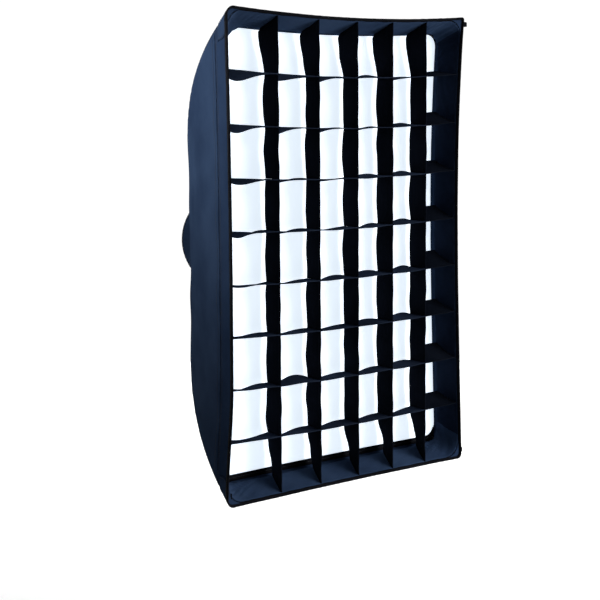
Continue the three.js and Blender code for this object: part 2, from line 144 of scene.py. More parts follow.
def ring(t, inset, radii=None):
    """Loop of points round the box at depth t."""
    if radii is None:
        radii = np.maximum(shell_radii(t) - inset, 1 * MM)
    flat = rounded_rectangle(half_w(t) - inset, half_h(t) - inset, np.broadcast_to(radii, 4))
    return place(flat[:, 0], flat[:, 1], t)


def outward(loop):
    """Unit vectors that point out of a loop, in its own plane."""
    along = np.roll(loop, -1, axis=0) - np.roll(loop, 1, axis=0)
    return unit(np.stack([along[:, 2], np.zeros(len(loop)), -along[:, 0]], axis=-1))


def lengths(points, axis):
    """Distance from the start along one axis of a grid of points."""
    steps = np.linalg.norm(np.diff(points, axis=axis), axis=2)
    start = np.zeros_like(np.take(steps, [0], axis=axis))
    return np.concatenate([start, np.cumsum(steps, axis=axis)], axis=axis)


def distance_along(loop):
    return lengths(loop[None], 1)[0]


def wrinkles(seed, a, b, size_a, size_b):
    """Soft uneven waves between about -1 and 1, of the given sizes along a and b."""
    count = 7
    chance = random.Random(seed)
    total = 0
    for _ in range(count):
        across = chance.uniform(0.6, 1.5) / size_a
        along = chance.uniform(-1.3, 1.3) / size_b
        total = total + np.sin(2 * math.pi * (a * across + b * along) + chance.uniform(0, 6.28))
    return total / math.sqrt(2 * count) * 0.8


# ---- mesh builders ----
def finish_piece(obj, body, nodes=()):
    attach(obj, body)
    if nodes:
        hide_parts(*nodes)
    return obj


def mesh_object(name, vertices, faces, materials, uvs=None):
    mesh = bpy.data.meshes.new(name)
    mesh.from_pydata([tuple(v) for v in vertices], [], faces)
    if uvs is not None:
        layer = mesh.uv_layers.new(name="Cloth")
        layer.data.foreach_set("uv", np.asarray(uvs, np.float32).ravel())
    for material in materials:
        mesh.materials.append(material)
    mesh.polygons.foreach_set("use_smooth", [True] * len(mesh.polygons))
    mesh.update()
    obj = bpy.data.objects.new(name, mesh)
    bpy.context.scene.collection.objects.link(obj)
    return obj


def grid_object(name, points, materials, closed=False, keep=None):
    """A surface through rows and columns of points; closed joins the last column to the first."""
    rows, columns = points.shape[:2]
    spans = columns if closed else columns - 1
    laid = np.concatenate([points, points[:, :1]], axis=1) if closed else points
    along, across = lengths(laid, 1), lengths(laid, 0)
    faces, uvs = [], []
    for i in range(rows - 1):
        for j in range(spans):
            if keep is not None and not keep(i, j):
                continue
            k = (j + 1) % columns
            faces.append(
                (i * columns + j, (i + 1) * columns + j, (i + 1) * columns + k, i * columns + k)
            )
            for row, column in ((i, j), (i + 1, j), (i + 1, j + 1), (i, j + 1)):
                uvs.append((along[row, column], across[row, column]))
    return mesh_object(name, points.reshape(-1, 3), faces, materials, uvs)


def cloth(name, points, materials, thickness, closed=False, offset=-1, keep=None):
    """A sheet of cloth with a real thickness; a second material is its inner face."""
    obj = grid_object(name, points, materials, closed, keep)
    solid = obj.modifiers.new("Thickness", "SOLIDIFY")
    solid.thickness = thickness
    solid.offset = offset
    if len(materials) > 1:
        solid.material_offset = 1
    return obj


def lathe(name, profile, materials, steps=128, axis="Y", centre=(0, 0, 0), lobes=None):
    """A closed profile of (radius, height) turned about an axis."""
    profile = np.array(rounded_profile(profile))
    angles = np.linspace(0, 2 * math.pi, steps, endpoint=False)
    radius = profile[:, 0][:, None] * np.ones(steps)
    if lobes:
        count, depth, low, high = lobes
        grip = (profile[:, 1] > low) & (profile[:, 1] < high)
        grip &= profile[:, 0] > 0.6 * profile[:, 0].max()
        radius = radius + grip[:, None] * depth * np.cos(count * angles)
    height = profile[:, 1][:, None] * np.ones(steps)
    c, s = radius * np.cos(angles), radius * np.sin(angles)
    points = np.stack([c, height, s] if axis == "Y" else [s, c, height], axis=-1)
    points = np.concatenate([points, points[:1]]) + np.array(centre)
    return close_up(grid_object(name, points, materials, closed=True))


def rounded_profile(corners, radius=0.6 * MM):
    """The profile with each corner rounded, so that turned edges catch light."""
    corners = np.array(corners, float)
    points = []
    for here, before, after in zip(corners, np.roll(corners, 1, axis=0), np.roll(corners, -1, axis=0)):
        reach = min(radius, 0.4 * np.linalg.norm(before - here), 0.4 * np.linalg.norm(after - here))
        start, end = here + reach * unit(before - here), here + reach * unit(after - here)
        for share in np.linspace(0, 1, 5):
            points.append(lerp(lerp(start, here, share), lerp(here, end, share), share))
    return points


def close_up(obj):
    """Joins doubled points, drops faces without area, fills open ends and turns the normals out."""
    mesh = bmesh.new()
    mesh.from_mesh(obj.data)
    bmesh.ops.remove_doubles(mesh, verts=mesh.verts, dist=1e-6)
    bmesh.ops.dissolve_degenerate(mesh, edges=mesh.edges, dist=1e-7)
    open_edges = [edge for edge in mesh.edges if edge.is_boundary]
    for face in bmesh.ops.holes_fill(mesh, edges=open_edges)["faces"]:
        face.smooth = True
    bmesh.ops.recalc_face_normals(mesh, faces=mesh.faces)
    mesh.to_mesh(obj.data)
    mesh.free()
    return obj


def unit(vectors):
    return vectors / np.linalg.norm(vectors, axis=-1, keepdims=True)


def tube(name, path, radii, materials, sides=20):
    """A round bar along a path with a radius at each point, closed at both ends."""
    along = unit(np.gradient(path, axis=0))
    side = unit(np.cross(along, np.array([0, 1, 0]) + 0.01))
    angles = np.linspace(0, 2 * math.pi, sides, endpoint=False)[None, :, None]
    circle = np.cos(angles) * side[:, None] + np.sin(angles) * np.cross(side, along)[:, None]
    points = path[:, None] + np.broadcast_to(radii, len(path))[:, None, None] * circle
    return close_up(grid_object(name, points, materials, closed=True))


def join(name, parts):
    """One object made of several."""
    bpy.ops.object.select_all(action="DESELECT")
    for part in parts:
        part.select_set(True)
    bpy.context.view_layer.objects.active = parts[0]
    bpy.ops.object.join()
    parts[0].name = name
    parts[0].data.name = name
    return parts[0]


def block(name, size, centre, material, bevel):
    """A block with rounded edges."""
    mesh = bmesh.new()
    bmesh.ops.create_cube(mesh, size=1)
    bmesh.ops.scale(mesh, vec=size, verts=mesh.verts)
    bmesh.ops.bevel(mesh, geom=mesh.edges[:], offset=bevel, segments=4, profile=0.5, affect="EDGES")
    bmesh.ops.translate(mesh, vec=centre, verts=mesh.verts)
    obj = mesh_object(name, [], [], [material])
    for face in mesh.faces:
        face.smooth = True
    mesh.to_mesh(obj.data)
    mesh.free()
    return obj


# A stitch is a bead: a tip, two five-sided rings and a tip, one long and one wide.
BEAD_SIDES = 5
BEAD_TURNS = [2 * math.pi * k / BEAD_SIDES for k in range(BEAD_SIDES)]
BEAD = [(-0.5, 0, 0)]
BEAD += [(along, 0.5 * math.cos(a), 0.5 * math.sin(a)) for along in (-0.3, 0.3) for a in BEAD_TURNS]
BEAD += [(0.5, 0, 0)]
BEAD_FACES = []
for here in range(1, BEAD_SIDES + 1):
    beside = here % BEAD_SIDES + 1
    BEAD_FACES.append((0, beside, here))
    BEAD_FACES.append((here, beside, beside + BEAD_SIDES, here + BEAD_SIDES))
    BEAD_FACES.append((here + BEAD_SIDES, beside + BEAD_SIDES, len(BEAD) - 1))


def stitch_beads(starts, ends, width):
    """Bead points for stitches between two lists of points."""
    along = ends - starts
    line = unit(along)
    helper = np.where(np.abs(line[:, 1:2]) < 0.9, [[0.0, 1.0, 0.0]], [[1.0, 0.0, 0.0]])
    side = unit(np.cross(line, helper))
    up = np.cross(side, line)
    lengthwise, sideways, upward = np.moveaxis(np.array(BEAD), 1, 0)[:, None, :, None]
    thick = width * (sideways * side[:, None] + upward * up[:, None])
    return (starts + ends)[:, None] / 2 + lengthwise * along[:, None] + thick


def stitches(name, pairs, body="box", material=None, width=0.7 * MM):
    """One piece of many stitches, each between a pair of points."""
    beads = stitch_beads(*np.moveaxis(np.array(pairs), 1, 0), width)
    faces = [tuple(len(BEAD) * k + v for v in face) for k in range(len(beads)) for face in BEAD_FACES]
    obj = mesh_object(name, beads.reshape(-1, 3), faces, [material or THREAD])
    return finish_piece(obj, body)


def seam_line(path, pitch=4 * MM, closed=False):
    """The two ends of each stitch along a path; a stitch fills 0.72 of its pitch."""
    share = 0.72
    if closed:
        path = np.concatenate([path, path[:1]])
    along = lengths(path[None], 1)[0]
    count = max(1, int(along[-1] / pitch))
    starts = (np.arange(count) + (1 - share) / 2) * along[-1] / count
    ends = starts + share * along[-1] / count
    ends_of = np.array([[np.interp(at, along, line) for line in path.T] for at in (starts, ends)])
    return list(ends_of.transpose(2, 0, 1))


# ---- materials ----
def node(tree, kind, **settings):
    made = tree.nodes.new(kind)
    for name, value in settings.items():
        setattr(made, name, value)
    return made


def principled(name, color, roughness, **sockets):
    """A material, its node tree and its shader; a socket's name has _ for each space."""
    material = bpy.data.materials.new(name)
    material.use_nodes = True
    shader = material.node_tree.nodes["Principled BSDF"]
    shader.inputs["Base Color"].default_value = (*color, 1)
    shader.inputs["Roughness"].default_value = roughness
    for socket, value in sockets.items():
        shader.inputs[socket.replace("_", " ")].default_value = value
    return material, material.node_tree, shader


def vary(tree, shader, color, roughness):
    """Links an uneven colour and an uneven roughness to the shader."""
    tree.links.new(color, shader.inputs["Base Color"])
    tree.links.new(roughness, shader.inputs["Roughness"])


def noise_texture(tree, scale, detail=3, stretch=(1, 1, 1)):
    place_node = node(tree, "ShaderNodeTexCoord")
    mapping = node(tree, "ShaderNodeMapping")
    mapping.inputs["Scale"].default_value = stretch
    texture = node(tree, "ShaderNodeTexNoise")
    texture.inputs["Scale"].default_value = scale
    texture.inputs["Detail"].default_value = detail
    tree.links.new(place_node.outputs["Object"], mapping.inputs["Vector"])
    tree.links.new(mapping.outputs["Vector"], texture.inputs["Vector"])
    return texture.outputs["Fac"]


def colour_between(tree, factor, low, high, start=0.35, end=0.65):
    ramp = node(tree, "ShaderNodeValToRGB")
    ramp.color_ramp.elements[0].position = start
    ramp.color_ramp.elements[1].position = end
    ramp.color_ramp.elements[0].color = (*low, 1)
    ramp.color_ramp.elements[1].color = (*high, 1)
    tree.links.new(factor, ramp.inputs["Fac"])
    return ramp.outputs["Color"]


def range_between(tree, factor, low, high):
    spread = node(tree, "ShaderNodeMapRange")
    spread.inputs["To Min"].default_value = low
    spread.inputs["To Max"].default_value = high
    tree.links.new(factor, spread.inputs["Value"])
    return spread.outputs["Result"]


def weave_height(tree, pitch):
    """Height of a plain weave in the cloth's own coordinates, which are metres."""
    uv = node(tree, "ShaderNodeUVMap", uv_map="Cloth")
    split = node(tree, "ShaderNodeSeparateXYZ")
    tree.links.new(uv.outputs["UV"], split.inputs["Vector"])
    product = node(tree, "ShaderNodeMath", operation="MULTIPLY")
    for index, axis in enumerate("XY"):
        turns = node(tree, "ShaderNodeMath", operation="MULTIPLY")
        turns.inputs[1].default_value = 2 * math.pi / pitch
        sine = node(tree, "ShaderNodeMath", operation="SINE")
        tree.links.new(split.outputs[axis], turns.inputs[0])
        tree.links.new(turns.outputs["Value"], sine.inputs[0])
        tree.links.new(sine.outputs["Value"], product.inputs[index])
    return product.outputs["Value"]


def bump(tree, shader, layers):
    """Adds bump layers, each (height, strength, distance)."""
    normal = None
    for height, strength, distance in layers:
        made = node(tree, "ShaderNodeBump")
        made.inputs["Strength"].default_value = strength
        made.inputs["Distance"].default_value = distance
        tree.links.new(height, made.inputs["Height"])
        if normal is not None:
            tree.links.new(normal, made.inputs["Normal"])
        normal = made.outputs["Normal"]
    tree.links.new(normal, shader.inputs["Normal"])


def woven(name, dark, light, roughness, weave=0.5 * MM, crease=0.25, **sockets):
    """Cloth with a weave, uneven colour and fine creases."""
    material, tree, shader = principled(name, light, roughness, **sockets)
    cloudy = noise_texture(tree, 9, 5)
    uneven = colour_between(tree, cloudy, dark, light)
    rough = range_between(tree, noise_texture(tree, 60), roughness - 0.08, roughness + 0.08)
    vary(tree, shader, uneven, rough)
    creases = noise_texture(tree, 45, 4, stretch=(1, 1, 0.5))
    layers = [(creases, crease, 1.5 * MM), (weave_height(tree, weave), 0.35, 0.12 * MM)]
    bump(tree, shader, layers)
    return material


def brushed(name, color, roughness, **sockets):
    """Turned or brushed metal, with fine lines round the Y axis and slight stains."""
    material, tree, shader = principled(name, color, roughness, Metallic=1.0, **sockets)
    lines = noise_texture(tree, 900, 2, stretch=(0.06, 1, 0.06))
    stains = noise_texture(tree, 35, 4)
    stained = colour_between(tree, stains, [0.8 * c for c in color], color, 0.3, 0.6)
    vary(tree, shader, stained, range_between(tree, stains, roughness + 0.12, roughness - 0.06))
    bump(tree, shader, [(lines, 0.12, 0.1 * MM)])
    return material


def moulded(name, color, roughness, grain=0.25, **sockets):
    """Plastic or paint with a fine grain."""
    material, tree, shader = principled(name, color, roughness, **sockets)
    worn = noise_texture(tree, 50, 5)
    faded = colour_between(tree, worn, color, [1.6 * c + 0.002 for c in color], 0.5, 0.8)
    vary(tree, shader, faded, range_between(tree, worn, roughness - 0.1, roughness + 0.1))
    bump(tree, shader, [(noise_texture(tree, 1500, 2), grain, 0.05 * MM)])
    return material


def diffuser_cloth():
    """White nylon with an even painted glow, as when it is lit from within, and painted bluish shade in
    soft upright streaks.
    """
    # Painted glow: the emission makes the sheet glow, though no lamp is inside the box.
    glow = (0.8, 0.9, 1.0, 1)
    material, tree, shader = principled(
        "diffuser_nylon", (0.88, 0.91, 0.95), 0.6, Emission_Color=glow, Emission_Strength=0.92
    )
    # Painted shade: the base colour turns bluish in soft upright streaks that stand for shadows on the
    # sheet.
    cloudy = noise_texture(tree, 7, 3, stretch=(2.2, 1, 0.5))
    white = colour_between(tree, cloudy, (0.78, 0.84, 0.93), (0.93, 0.94, 0.95))
    tree.links.new(white, shader.inputs["Base Color"])
    creases = noise_texture(tree, 28, 4, stretch=(1, 1, 0.4))
    weave = weave_height(tree, 0.4 * MM)
    bump(tree, shader, [(creases, 0.2, 1.2 * MM), (weave, 0.25, 0.08 * MM)])
    return material


NAVY = woven(
    "navy_nylon", (0.014, 0.026, 0.056), (0.022, 0.039, 0.078), 0.6,
    Sheen_Weight=0.03, Sheen_Tint=(0.5, 0.65, 0.9, 1), Specular_IOR_Level=0.0,
)
# Painted shade: the front band's navy is a darker copy of the walls' navy, for the shade on the band;
# the corner webs use it too.
SHADED_BAND_NAVY = woven(
    "band_nylon_painted_shade", (0.013, 0.024, 0.052), (0.019, 0.034, 0.07), 0.65, Specular_IOR_Level=0.0
)
# Painted shade: a darker copy of the navy for the grid frame's right side, which is in shade.
SHADED_NAVY = woven(
    "frame_navy_painted_shade", (0.005, 0.009, 0.02), (0.009, 0.015, 0.032), 0.7, Specular_IOR_Level=0.0
)
SILVER = woven(
    "silver_coating", (0.5, 0.52, 0.55), (0.66, 0.68, 0.7), 0.38, crease=0.5, Metallic=0.85
)
# Painted shade: the upright strips' cloth is a darker copy of the level strips' nylon, for the shade on
# their sides; the level strips' last cell uses it too.
UPRIGHT_SHADED_CLOTH = woven(
    "upright_nylon", (0.0025, 0.0035, 0.006), (0.005, 0.0065, 0.011), 0.8, Specular_IOR_Level=0.0
)
LEVEL_CLOTH = woven(
    "level_nylon", (0.007, 0.01, 0.018), (0.013, 0.019, 0.034), 0.75, Specular_IOR_Level=0.0
)
WEBBING = woven(
    "black_webbing", (0.003, 0.0032, 0.0045), (0.006, 0.0065, 0.009), 0.75,
    weave=1.1 * MM, Specular_IOR_Level=0.02,
)
HOOKS = woven(
    "hook_tape", (0.003, 0.003, 0.0035), (0.009, 0.009, 0.0105), 0.9, weave=1.6 * MM, crease=0.8
)
THREAD = moulded("thread", (0.006, 0.0065, 0.009), 0.6)
TACK_THREAD = moulded("tack_thread", (0.035, 0.038, 0.05), 0.6)
WHITE = diffuser_cloth()
BAFFLE_WHITE = woven("baffle_nylon", (0.76, 0.78, 0.82), (0.86, 0.87, 0.9), 0.6, Specular_IOR_Level=0.2)
ALUMINIUM = brushed("cast_aluminium", (0.6, 0.61, 0.63), 0.33)
STEEL = brushed("zinc_steel", (0.55, 0.56, 0.58), 0.25)
ROD_PAINT = moulded("black_spring_steel", (0.012, 0.012, 0.014), 0.35, Coat_Weight=0.3)
RUBBER = moulded("black_rubber", (0.008, 0.008, 0.009), 0.7, grain=0.5)
PLASTIC = moulded("black_plastic", (0.01, 0.01, 0.012), 0.45)

# ---- shell panels and front band ----
# The grid's frame stands this far inside the front edge, with round corners.
FRAME_INSET = 3.5 * MM
FRAME_FRONT_R = 33 * MM
PANEL_ROWS, PANEL_COLUMNS = 90, 140
PANEL_CLOTH, TAPE_THICK = 0.45 * MM, 0.8 * MM
PIPING_R = 1.2 * MM
# The lining is black, not silver, in the first rows behind the diffuser's hem.
DARK_ROWS = 6
BLACK_LINED = 2


def panel_radii(level, side):
    """Corner radii at a panel's low and high end."""
    low, high = ((-1, side), (1, side)) if level else ((side, -1), (side, 1))
    return SHELL_RADII[CORNERS.index(low)], SHELL_RADII[CORNERS.index(high)]


def panel(name, level, side):
    """One wall of the shell, from the front band's seam back to the collar."""
    t = lerp(SEAM_T - 1 * MM, SHELL_END_T + 6 * MM, np.linspace(0, 1, PANEL_ROWS))[:, None]
    half, other_half = (half_w(t), half_h(t)) if level else (half_h(t), half_w(t))
    radii = panel_radii(level, side)
    reaches = [half - radius * (1 - math.pi / 4) for radius in radii]
    share = np.linspace(0, 1, PANEL_COLUMNS)[None, :]
    if (side > 0) == level:
        share = share[:, ::-1]
    laid = lerp(-reaches[0], reaches[1], share)
    radius = np.where(laid < 0, radii[0], radii[1])
    turned = np.maximum(0, np.abs(laid) - (half - radius)) / radius
    along = np.sign(laid) * (np.minimum(np.abs(laid), half - radius) + radius * np.sin(turned))
    rounding = radius * (1 - np.cos(turned))
    from_seam = np.minimum(laid + reaches[0], reaches[1] - laid)
    out = panel_folds(name, along, t, from_seam)
    across = side * (other_half + out - 0.2 * MM - rounding)
    points = place(along, across, t) if level else place(across, along, t)
    obj = cloth(f"{name}_cloth", points, [NAVY, SILVER, NAVY, WEBBING], PANEL_CLOTH)
    dark_faces = DARK_ROWS * (PANEL_COLUMNS - 1)
    for face in obj.data.polygons[:dark_faces]:
        face.material_index = BLACK_LINED
    finish_piece(obj, "box", [name])
    return points


def panel_folds(name, along, t, from_seam):
    """How far a wall's cloth stands out: wide folds, puckers at the front seam, pulls at the corners."""
    from_front = t - SEAM_T
    folds = 1.6 * MM * wrinkles(f"{name} folds", along, t, 120 * MM, 300 * MM)
    puckers = 0.7 * MM * wrinkles(name, along, t, 17 * MM, 400 * MM)
    corner_pull = 0.8 * MM * wrinkles(name + "c", t, along, 24 * MM, 90 * MM)
    seam_roll = 0.9 * MM * np.exp(-(((from_front - 7 * MM) / (5 * MM)) ** 2))
    out = folds * smooth(from_seam, 0, 60 * MM) * smooth(from_front, 0, 6 * MM)
    out = out + puckers * np.exp(-from_front / (16 * MM))
    out = out + corner_pull * np.exp(-from_seam / (22 * MM)) * smooth(from_seam, 0, 5 * MM)
    return out + seam_roll


def shell():
    """The four walls, their stitches, and the piping in the corner seams."""
    walls = {"top": (True, 1), "bottom": (True, -1), "left": (False, -1), "right": (False, 1)}
    seams = []
    for name, (level, side) in walls.items():
        points = panel(f"panel_{name}", level, side)
        out = np.array([0, 0, side] if level else [side, 0, 0]) * MM
        for column, beside in ((0, 2), (-1, -3)):
            edge = lerp(points[:, column], points[:, beside], 0.8)
            seams += seam_line(edge[2:] + 0.25 * out, pitch=4.5 * MM)
        seams += seam_line(points[3] + 0.3 * out, pitch=4.5 * MM)
    stitches("panel_stitches", seams)
    for i, (side_x, side_z) in enumerate(CORNERS):
        t = np.linspace(SEAM_T - 2 * MM, SHELL_END_T, 120)
        inset = SHELL_RADII[i] * (1 - math.sqrt(0.5)) + 0.2 * MM
        path = place(side_x * (half_w(t) - inset), side_z * (half_h(t) - inset), t)
        bead = PIPING_R * (1 + 0.06 * np.sin(np.arange(len(t)) * 1.7))
        piping = tube(f"corner_piping_{i + 1}", path, bead, [WEBBING], sides=12)
        finish_piece(piping, "box", [f"corner_seam_{i + 1}"])


def front_band():
    """The band of cloth between the front edge and the panels' seam."""
    at_seam = SEAM_T + np.array([-2.5, -1, 0.5, 2.5]) * MM
    rows = np.concatenate([np.linspace(0.6 * MM, SEAM_T - 4 * MM, 20), at_seam])
    points = []
    for t in rows:
        loop = ring(t, 0)
        s = distance_along(loop)
        near_seam = math.exp(-(SEAM_T - t) / (9 * MM))
        near_edge = math.exp(-t / (8 * MM))
        soft = math.sin(math.pi * t / SEAM_T)
        out = 0.5 * MM * near_seam * wrinkles("band seam", s, t, 15 * MM, 300 * MM)
        out = out + 0.35 * MM * near_edge * wrinkles("band edge", s, t, 19 * MM, 300 * MM)
        out = out + soft * (0.9 * MM * wrinkles("band", s, t, 160 * MM, 120 * MM) - 0.6 * MM)
        out = out - 0.9 * MM * float(smooth(t, SEAM_T - 5 * MM, SEAM_T))
        points.append(loop + outward(loop) * out[:, None])
    points = np.array(points)
    # The band's darker navy is painted shade.
    obj = cloth("front_band_cloth", points, [SHADED_BAND_NAVY], 0.5 * MM, closed=True)
    finish_piece(obj, "box", ["front_band"])
    pairs = []
    for loop in points[[-5, -7]]:
        pairs += seam_line(loop + 0.15 * MM * outward(loop), closed=True)
    thread = stitches("band_stitches", pairs)


def edge_binding():
    """Tape folded over the front edge."""
    outer_leg, inner_leg, fold = 8 * MM, 7 * MM, -1.9 * MM
    section = [(outer_leg, -0.75 * MM), (5 * MM, -0.8 * MM), (2 * MM, -0.85 * MM), (0, -0.8 * MM)]
    for k in range(1, 8):
        angle = math.pi * k / 8
        section.append((fold * math.sin(angle), lerp(-0.8 * MM, 2.4 * MM, (1 - math.cos(angle)) / 2)))
    section += [(0, 2.4 * MM), (2 * MM, 2.45 * MM), (5 * MM, 2.4 * MM), (inner_leg, 2.3 * MM)]
    points = []
    for k, (t, inset) in enumerate(section):
        loop = ring(t, inset)
        s = distance_along(loop)
        rough = 0.18 * MM * wrinkles("binding", s, k * MM, 23 * MM, 40 * MM)
        rough = rough + 0.25 * MM * wrinkles("binding soft", s, 0 * s, 150 * MM, 1)
        points.append(loop + outward(loop) * rough[:, None])
    points = np.array(points)
    obj = cloth("edge_binding_tape", points, [WEBBING], 0.5 * MM, closed=True, offset=0)
    finish_piece(obj, "box", ["edge_binding"])
    pairs = []
    for row, side in ((1, 1), (-2, -1)):
        loop = points[row]
        pairs += seam_line(loop + side * 0.3 * MM * outward(loop), closed=True)
    thread = stitches("binding_stitches", pairs)


POCKET_FRONT_T, POCKET_BACK_T, POCKET_LEG = 7 * MM, 40 * MM, 30 * MM


def pocket_points(i, side_x, side_z):
    """Points of a patch that wraps a front corner and narrows towards the back."""
    points = []
    for t in np.linspace(POCKET_FRONT_T, POCKET_BACK_T, 14):
        radius = shell_radii(t)[i] + 0.9 * MM
        w, h = half_w(t) + 0.9 * MM, half_h(t) + 0.9 * MM
        leg = POCKET_LEG * (1 - 0.3 * smooth(t, 0.4 * POCKET_BACK_T, POCKET_BACK_T))
        loop = [(w - radius - leg * share, h) for share in np.linspace(1, 0, 12)]
        for angle in np.linspace(math.pi / 2, 0, 13)[1:-1]:
            loop.append((w - radius * (1 - math.cos(angle)), h - radius * (1 - math.sin(angle))))
        loop += [(w, h - radius - leg * share) for share in np.linspace(0, 1, 12)]
        flat = np.array(loop)
        flat += 0.2 * MM * wrinkles(f"pocket {i}", flat[:, :1] - flat[:, 1:], t, 14 * MM, 30 * MM)
        points.append(place(side_x * flat[:, 0], side_z * flat[:, 1], t))
    points = np.array(points)
    return points[:, ::-1] if side_x * side_z < 0 else points


def corner_pockets():
    """Reinforced patches over the front corners, each with a pull tab and a web over the rod's tip."""
    pairs = []
    for i, (side_x, side_z) in enumerate(CORNERS):
        points = pocket_points(i, side_x, side_z)
        patch = cloth(f"corner_pocket_{i + 1}_cloth", points, [NAVY], 0.6 * MM, offset=1)
        finish_piece(patch, "box", [f"corner_pocket_{i + 1}"])
        lift = 0.75 * MM * np.array([side_x, 0, side_z]) / math.sqrt(2)
        for line in (points[-2], points[1:-1, 1], points[1:-1, -2]):
            pairs += seam_line(line + lift, pitch=3.5 * MM)
        added = [pull_tab(i, side_x, side_z), corner_web(i, side_x, side_z)]
    stitches("pocket_stitches", pairs)


def pull_tab(i, side_x, side_z):
    """A short loop of tape on the side leg of a corner pocket."""
    reach = (13 * MM if side_z > 0 else 8 * MM) if side_x > 0 else 1.2 * MM
    width, drop = 11 * MM, max(13 * MM, FRONT_RADII[i] + 5 * MM)
    base_x, middle_z = HALF_W - 1 * MM, HALF_H - drop
    points = []
    for k in range(25):
        angle = math.pi * k / 24
        x = base_x + reach * math.sin(angle) ** 0.7
        y = FRONT_Y + 3 * MM + 1.2 * MM * math.cos(angle)
        across = np.linspace(-0.5, 0.5, 9) * width * (1 - 0.25 * math.sin(angle))
        points.append([(side_x * x, y, side_z * (middle_z + offset)) for offset in across])
    tab = cloth(f"pull_tab_{i + 1}", np.array(points), [WEBBING], 0.8 * MM, offset=0)
    return finish_piece(tab, "box")


def corner_web(i, side_x, side_z):
    """The cloth that closes the corner in front of the rod's tip, out to the grid's round corner."""
    arc, edge, count = FRAME_FRONT_R + 1 * MM, 2 * MM, 16
    middle = FRAME_INSET + arc
    points = []
    for angle in np.linspace(0.001, math.pi / 2 - 0.001, count):
        toward = np.array([math.cos(angle), math.sin(angle)])
        reach = (middle - edge) / max(toward)
        row = [middle - toward * lerp(reach, arc, share) for share in np.linspace(0, 1, count)]
        points.append([place(side_x * (HALF_W - x), side_z * (HALF_H - z), 2.4 * MM) for x, z in row])
    points = np.array(points)
    radius = FRONT_RADII[i]
    centre = place(side_x * (HALF_W - radius), side_z * (HALF_H - radius), 0)
    centre[1] = points[0, 0, 1]
    away = points - centre
    beyond = (side_x * away[:, :, 0] > 0) & (side_z * away[:, :, 2] > 0)
    length = np.linalg.norm(away, axis=2)
    room = radius - edge
    points = centre + away * np.where(beyond & (length > room), room / length, 1)[:, :, None]
    # The web's darker navy is the band's painted shade.
    web = cloth(f"corner_web_{i + 1}", points, [SHADED_BAND_NAVY], 0.5 * MM, offset=0)
    return finish_piece(web, "box")


# ---- linings and rear collar ----
def tape_round(name, node_name, section):
    """A tape that runs round inside the box; section is a list of (t, inset, corner radius)."""
    points = np.array([ring(t, inset, radius) for t, inset, radius in section])
    obj = cloth(name, points, [HOOKS], TAPE_THICK, closed=True, offset=0)
    finish_piece(obj, "box", [node_name])


def linings():
    """Hook-and-loop tapes for the grid and for the diffuser."""
    width = 20 * MM
    section = [(t, 1.9 * MM, 33 * MM) for t in np.linspace(0, width, 8) + 8 * MM]
    tape_round("hook_strip", "grid_hook_strip", section)
    ledge_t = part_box("diffuser_ledge")[0].y - FRONT_Y + 0.6 * MM
    section = [(ledge_t, inset, 40 * MM - inset) for inset in np.linspace(1.8 * MM, 16 * MM, 8)]
    tape_round("diffuser_ledge_tape", "diffuser_ledge", section)


COLLAR_ROWS = 40
# The collar narrows to the ring's rim within this share of its rows; the rest is the cuff.
NARROWING = 0.78
COLLAR_FRONT_T = SHELL_END_T - 4 * MM
RIM_T = RING_LOW.y + 2 * MM - FRONT_Y


def polar(radius, angles):
    return np.stack([radius * np.cos(angles), 0 * angles, radius * np.sin(angles)], axis=1)


def collar_row(share, angles):
    """A loop of the collar; share is 0 at the shell's rear edge and 1 at the cuff's end."""
    narrowed = min(1, share / NARROWING)
    t = lerp(COLLAR_FRONT_T, RIM_T, narrowed)
    if share > NARROWING:
        t = lerp(RIM_T, CUFF_REAR_T, (share - NARROWING) / (1 - NARROWING))
    swell = math.sin(math.pi * narrowed)
    around = angles * 90 * MM
    pleat = 1.1 * MM * smooth(narrowed, 0.15, 1) * wrinkles("collar", around, 0 * angles, 11 * MM, 1)
    pleat = pleat + 1.2 * MM * swell * wrinkles("collar wide", around, t, 60 * MM, 90 * MM)
    if share > NARROWING:
        pleat = pleat * 0.55
    plain = ring(lerp(COLLAR_FRONT_T, SHELL_END_T + 2 * MM, min(1, 4 * share)), 0.9 * MM)
    plain[:, 1] = 0
    loop = lerp(plain, polar(CUFF_R - 0.9 * MM + pleat, angles), smooth(narrowed, 0, 1))
    # The cloth stands out where it passes over a rod's socket.
    from_rod = np.abs(np.abs(np.abs(angles) - math.pi / 2) - math.pi / 4)
    loop = loop + swell * polar(3.5 * MM * np.exp(-((from_rod / 0.16) ** 2)), angles)
    loop[:, 1] = FRONT_Y + t
    return loop


def rear_collar():
    """Gathered cloth from the shell's rear edge to the cuff that grips the speed ring."""
    start = ring(COLLAR_FRONT_T, 0.9 * MM)
    angles = np.arctan2(start[:, 2], start[:, 0])
    points = np.array([collar_row(share, angles) for share in np.linspace(0, 1, COLLAR_ROWS)])
    obj = cloth("rear_collar_cloth", points, [NAVY, SILVER], 0.5 * MM, closed=True)
    finish_piece(obj, "box", ["rear_collar"])
    pairs = []
    for loop in points[[-2, -9]]:
        pairs += seam_line(loop + 0.3 * MM * outward(loop), pitch=3.5 * MM, closed=True)
    thread = stitches("collar_stitches", pairs)


# ---- rods, sockets, speed ring, adapter ----
ROD_R, ROD_CAP_R = 2.5 * MM, 4.4 * MM
# The widest corner seam needs its rod this much deeper inside.
WIDE_SEAM_ROOM = 2.2 * MM


def corner_point(side_x, side_z, t):
    """Points along a rod, which follows its corner of the shell."""
    inset, drawn = ROD_INSET, 0
    if (side_x, side_z) == CORNERS[1]:
        inset = inset + WIDE_SEAM_ROOM * (1 - smooth(t, SHELL_END_T, SHELL_END_T + 20 * MM))
    if (side_x, side_z) == CORNERS[2]:
        drawn = CORNER_DRAW * (1 - BOW_LOSS * t / DEPTH) ** 3
    x = side_x * (half_w(t) - inset) - drawn
    return np.stack([x, FRONT_Y + t, side_z * (half_h(t) - inset)], axis=-1)


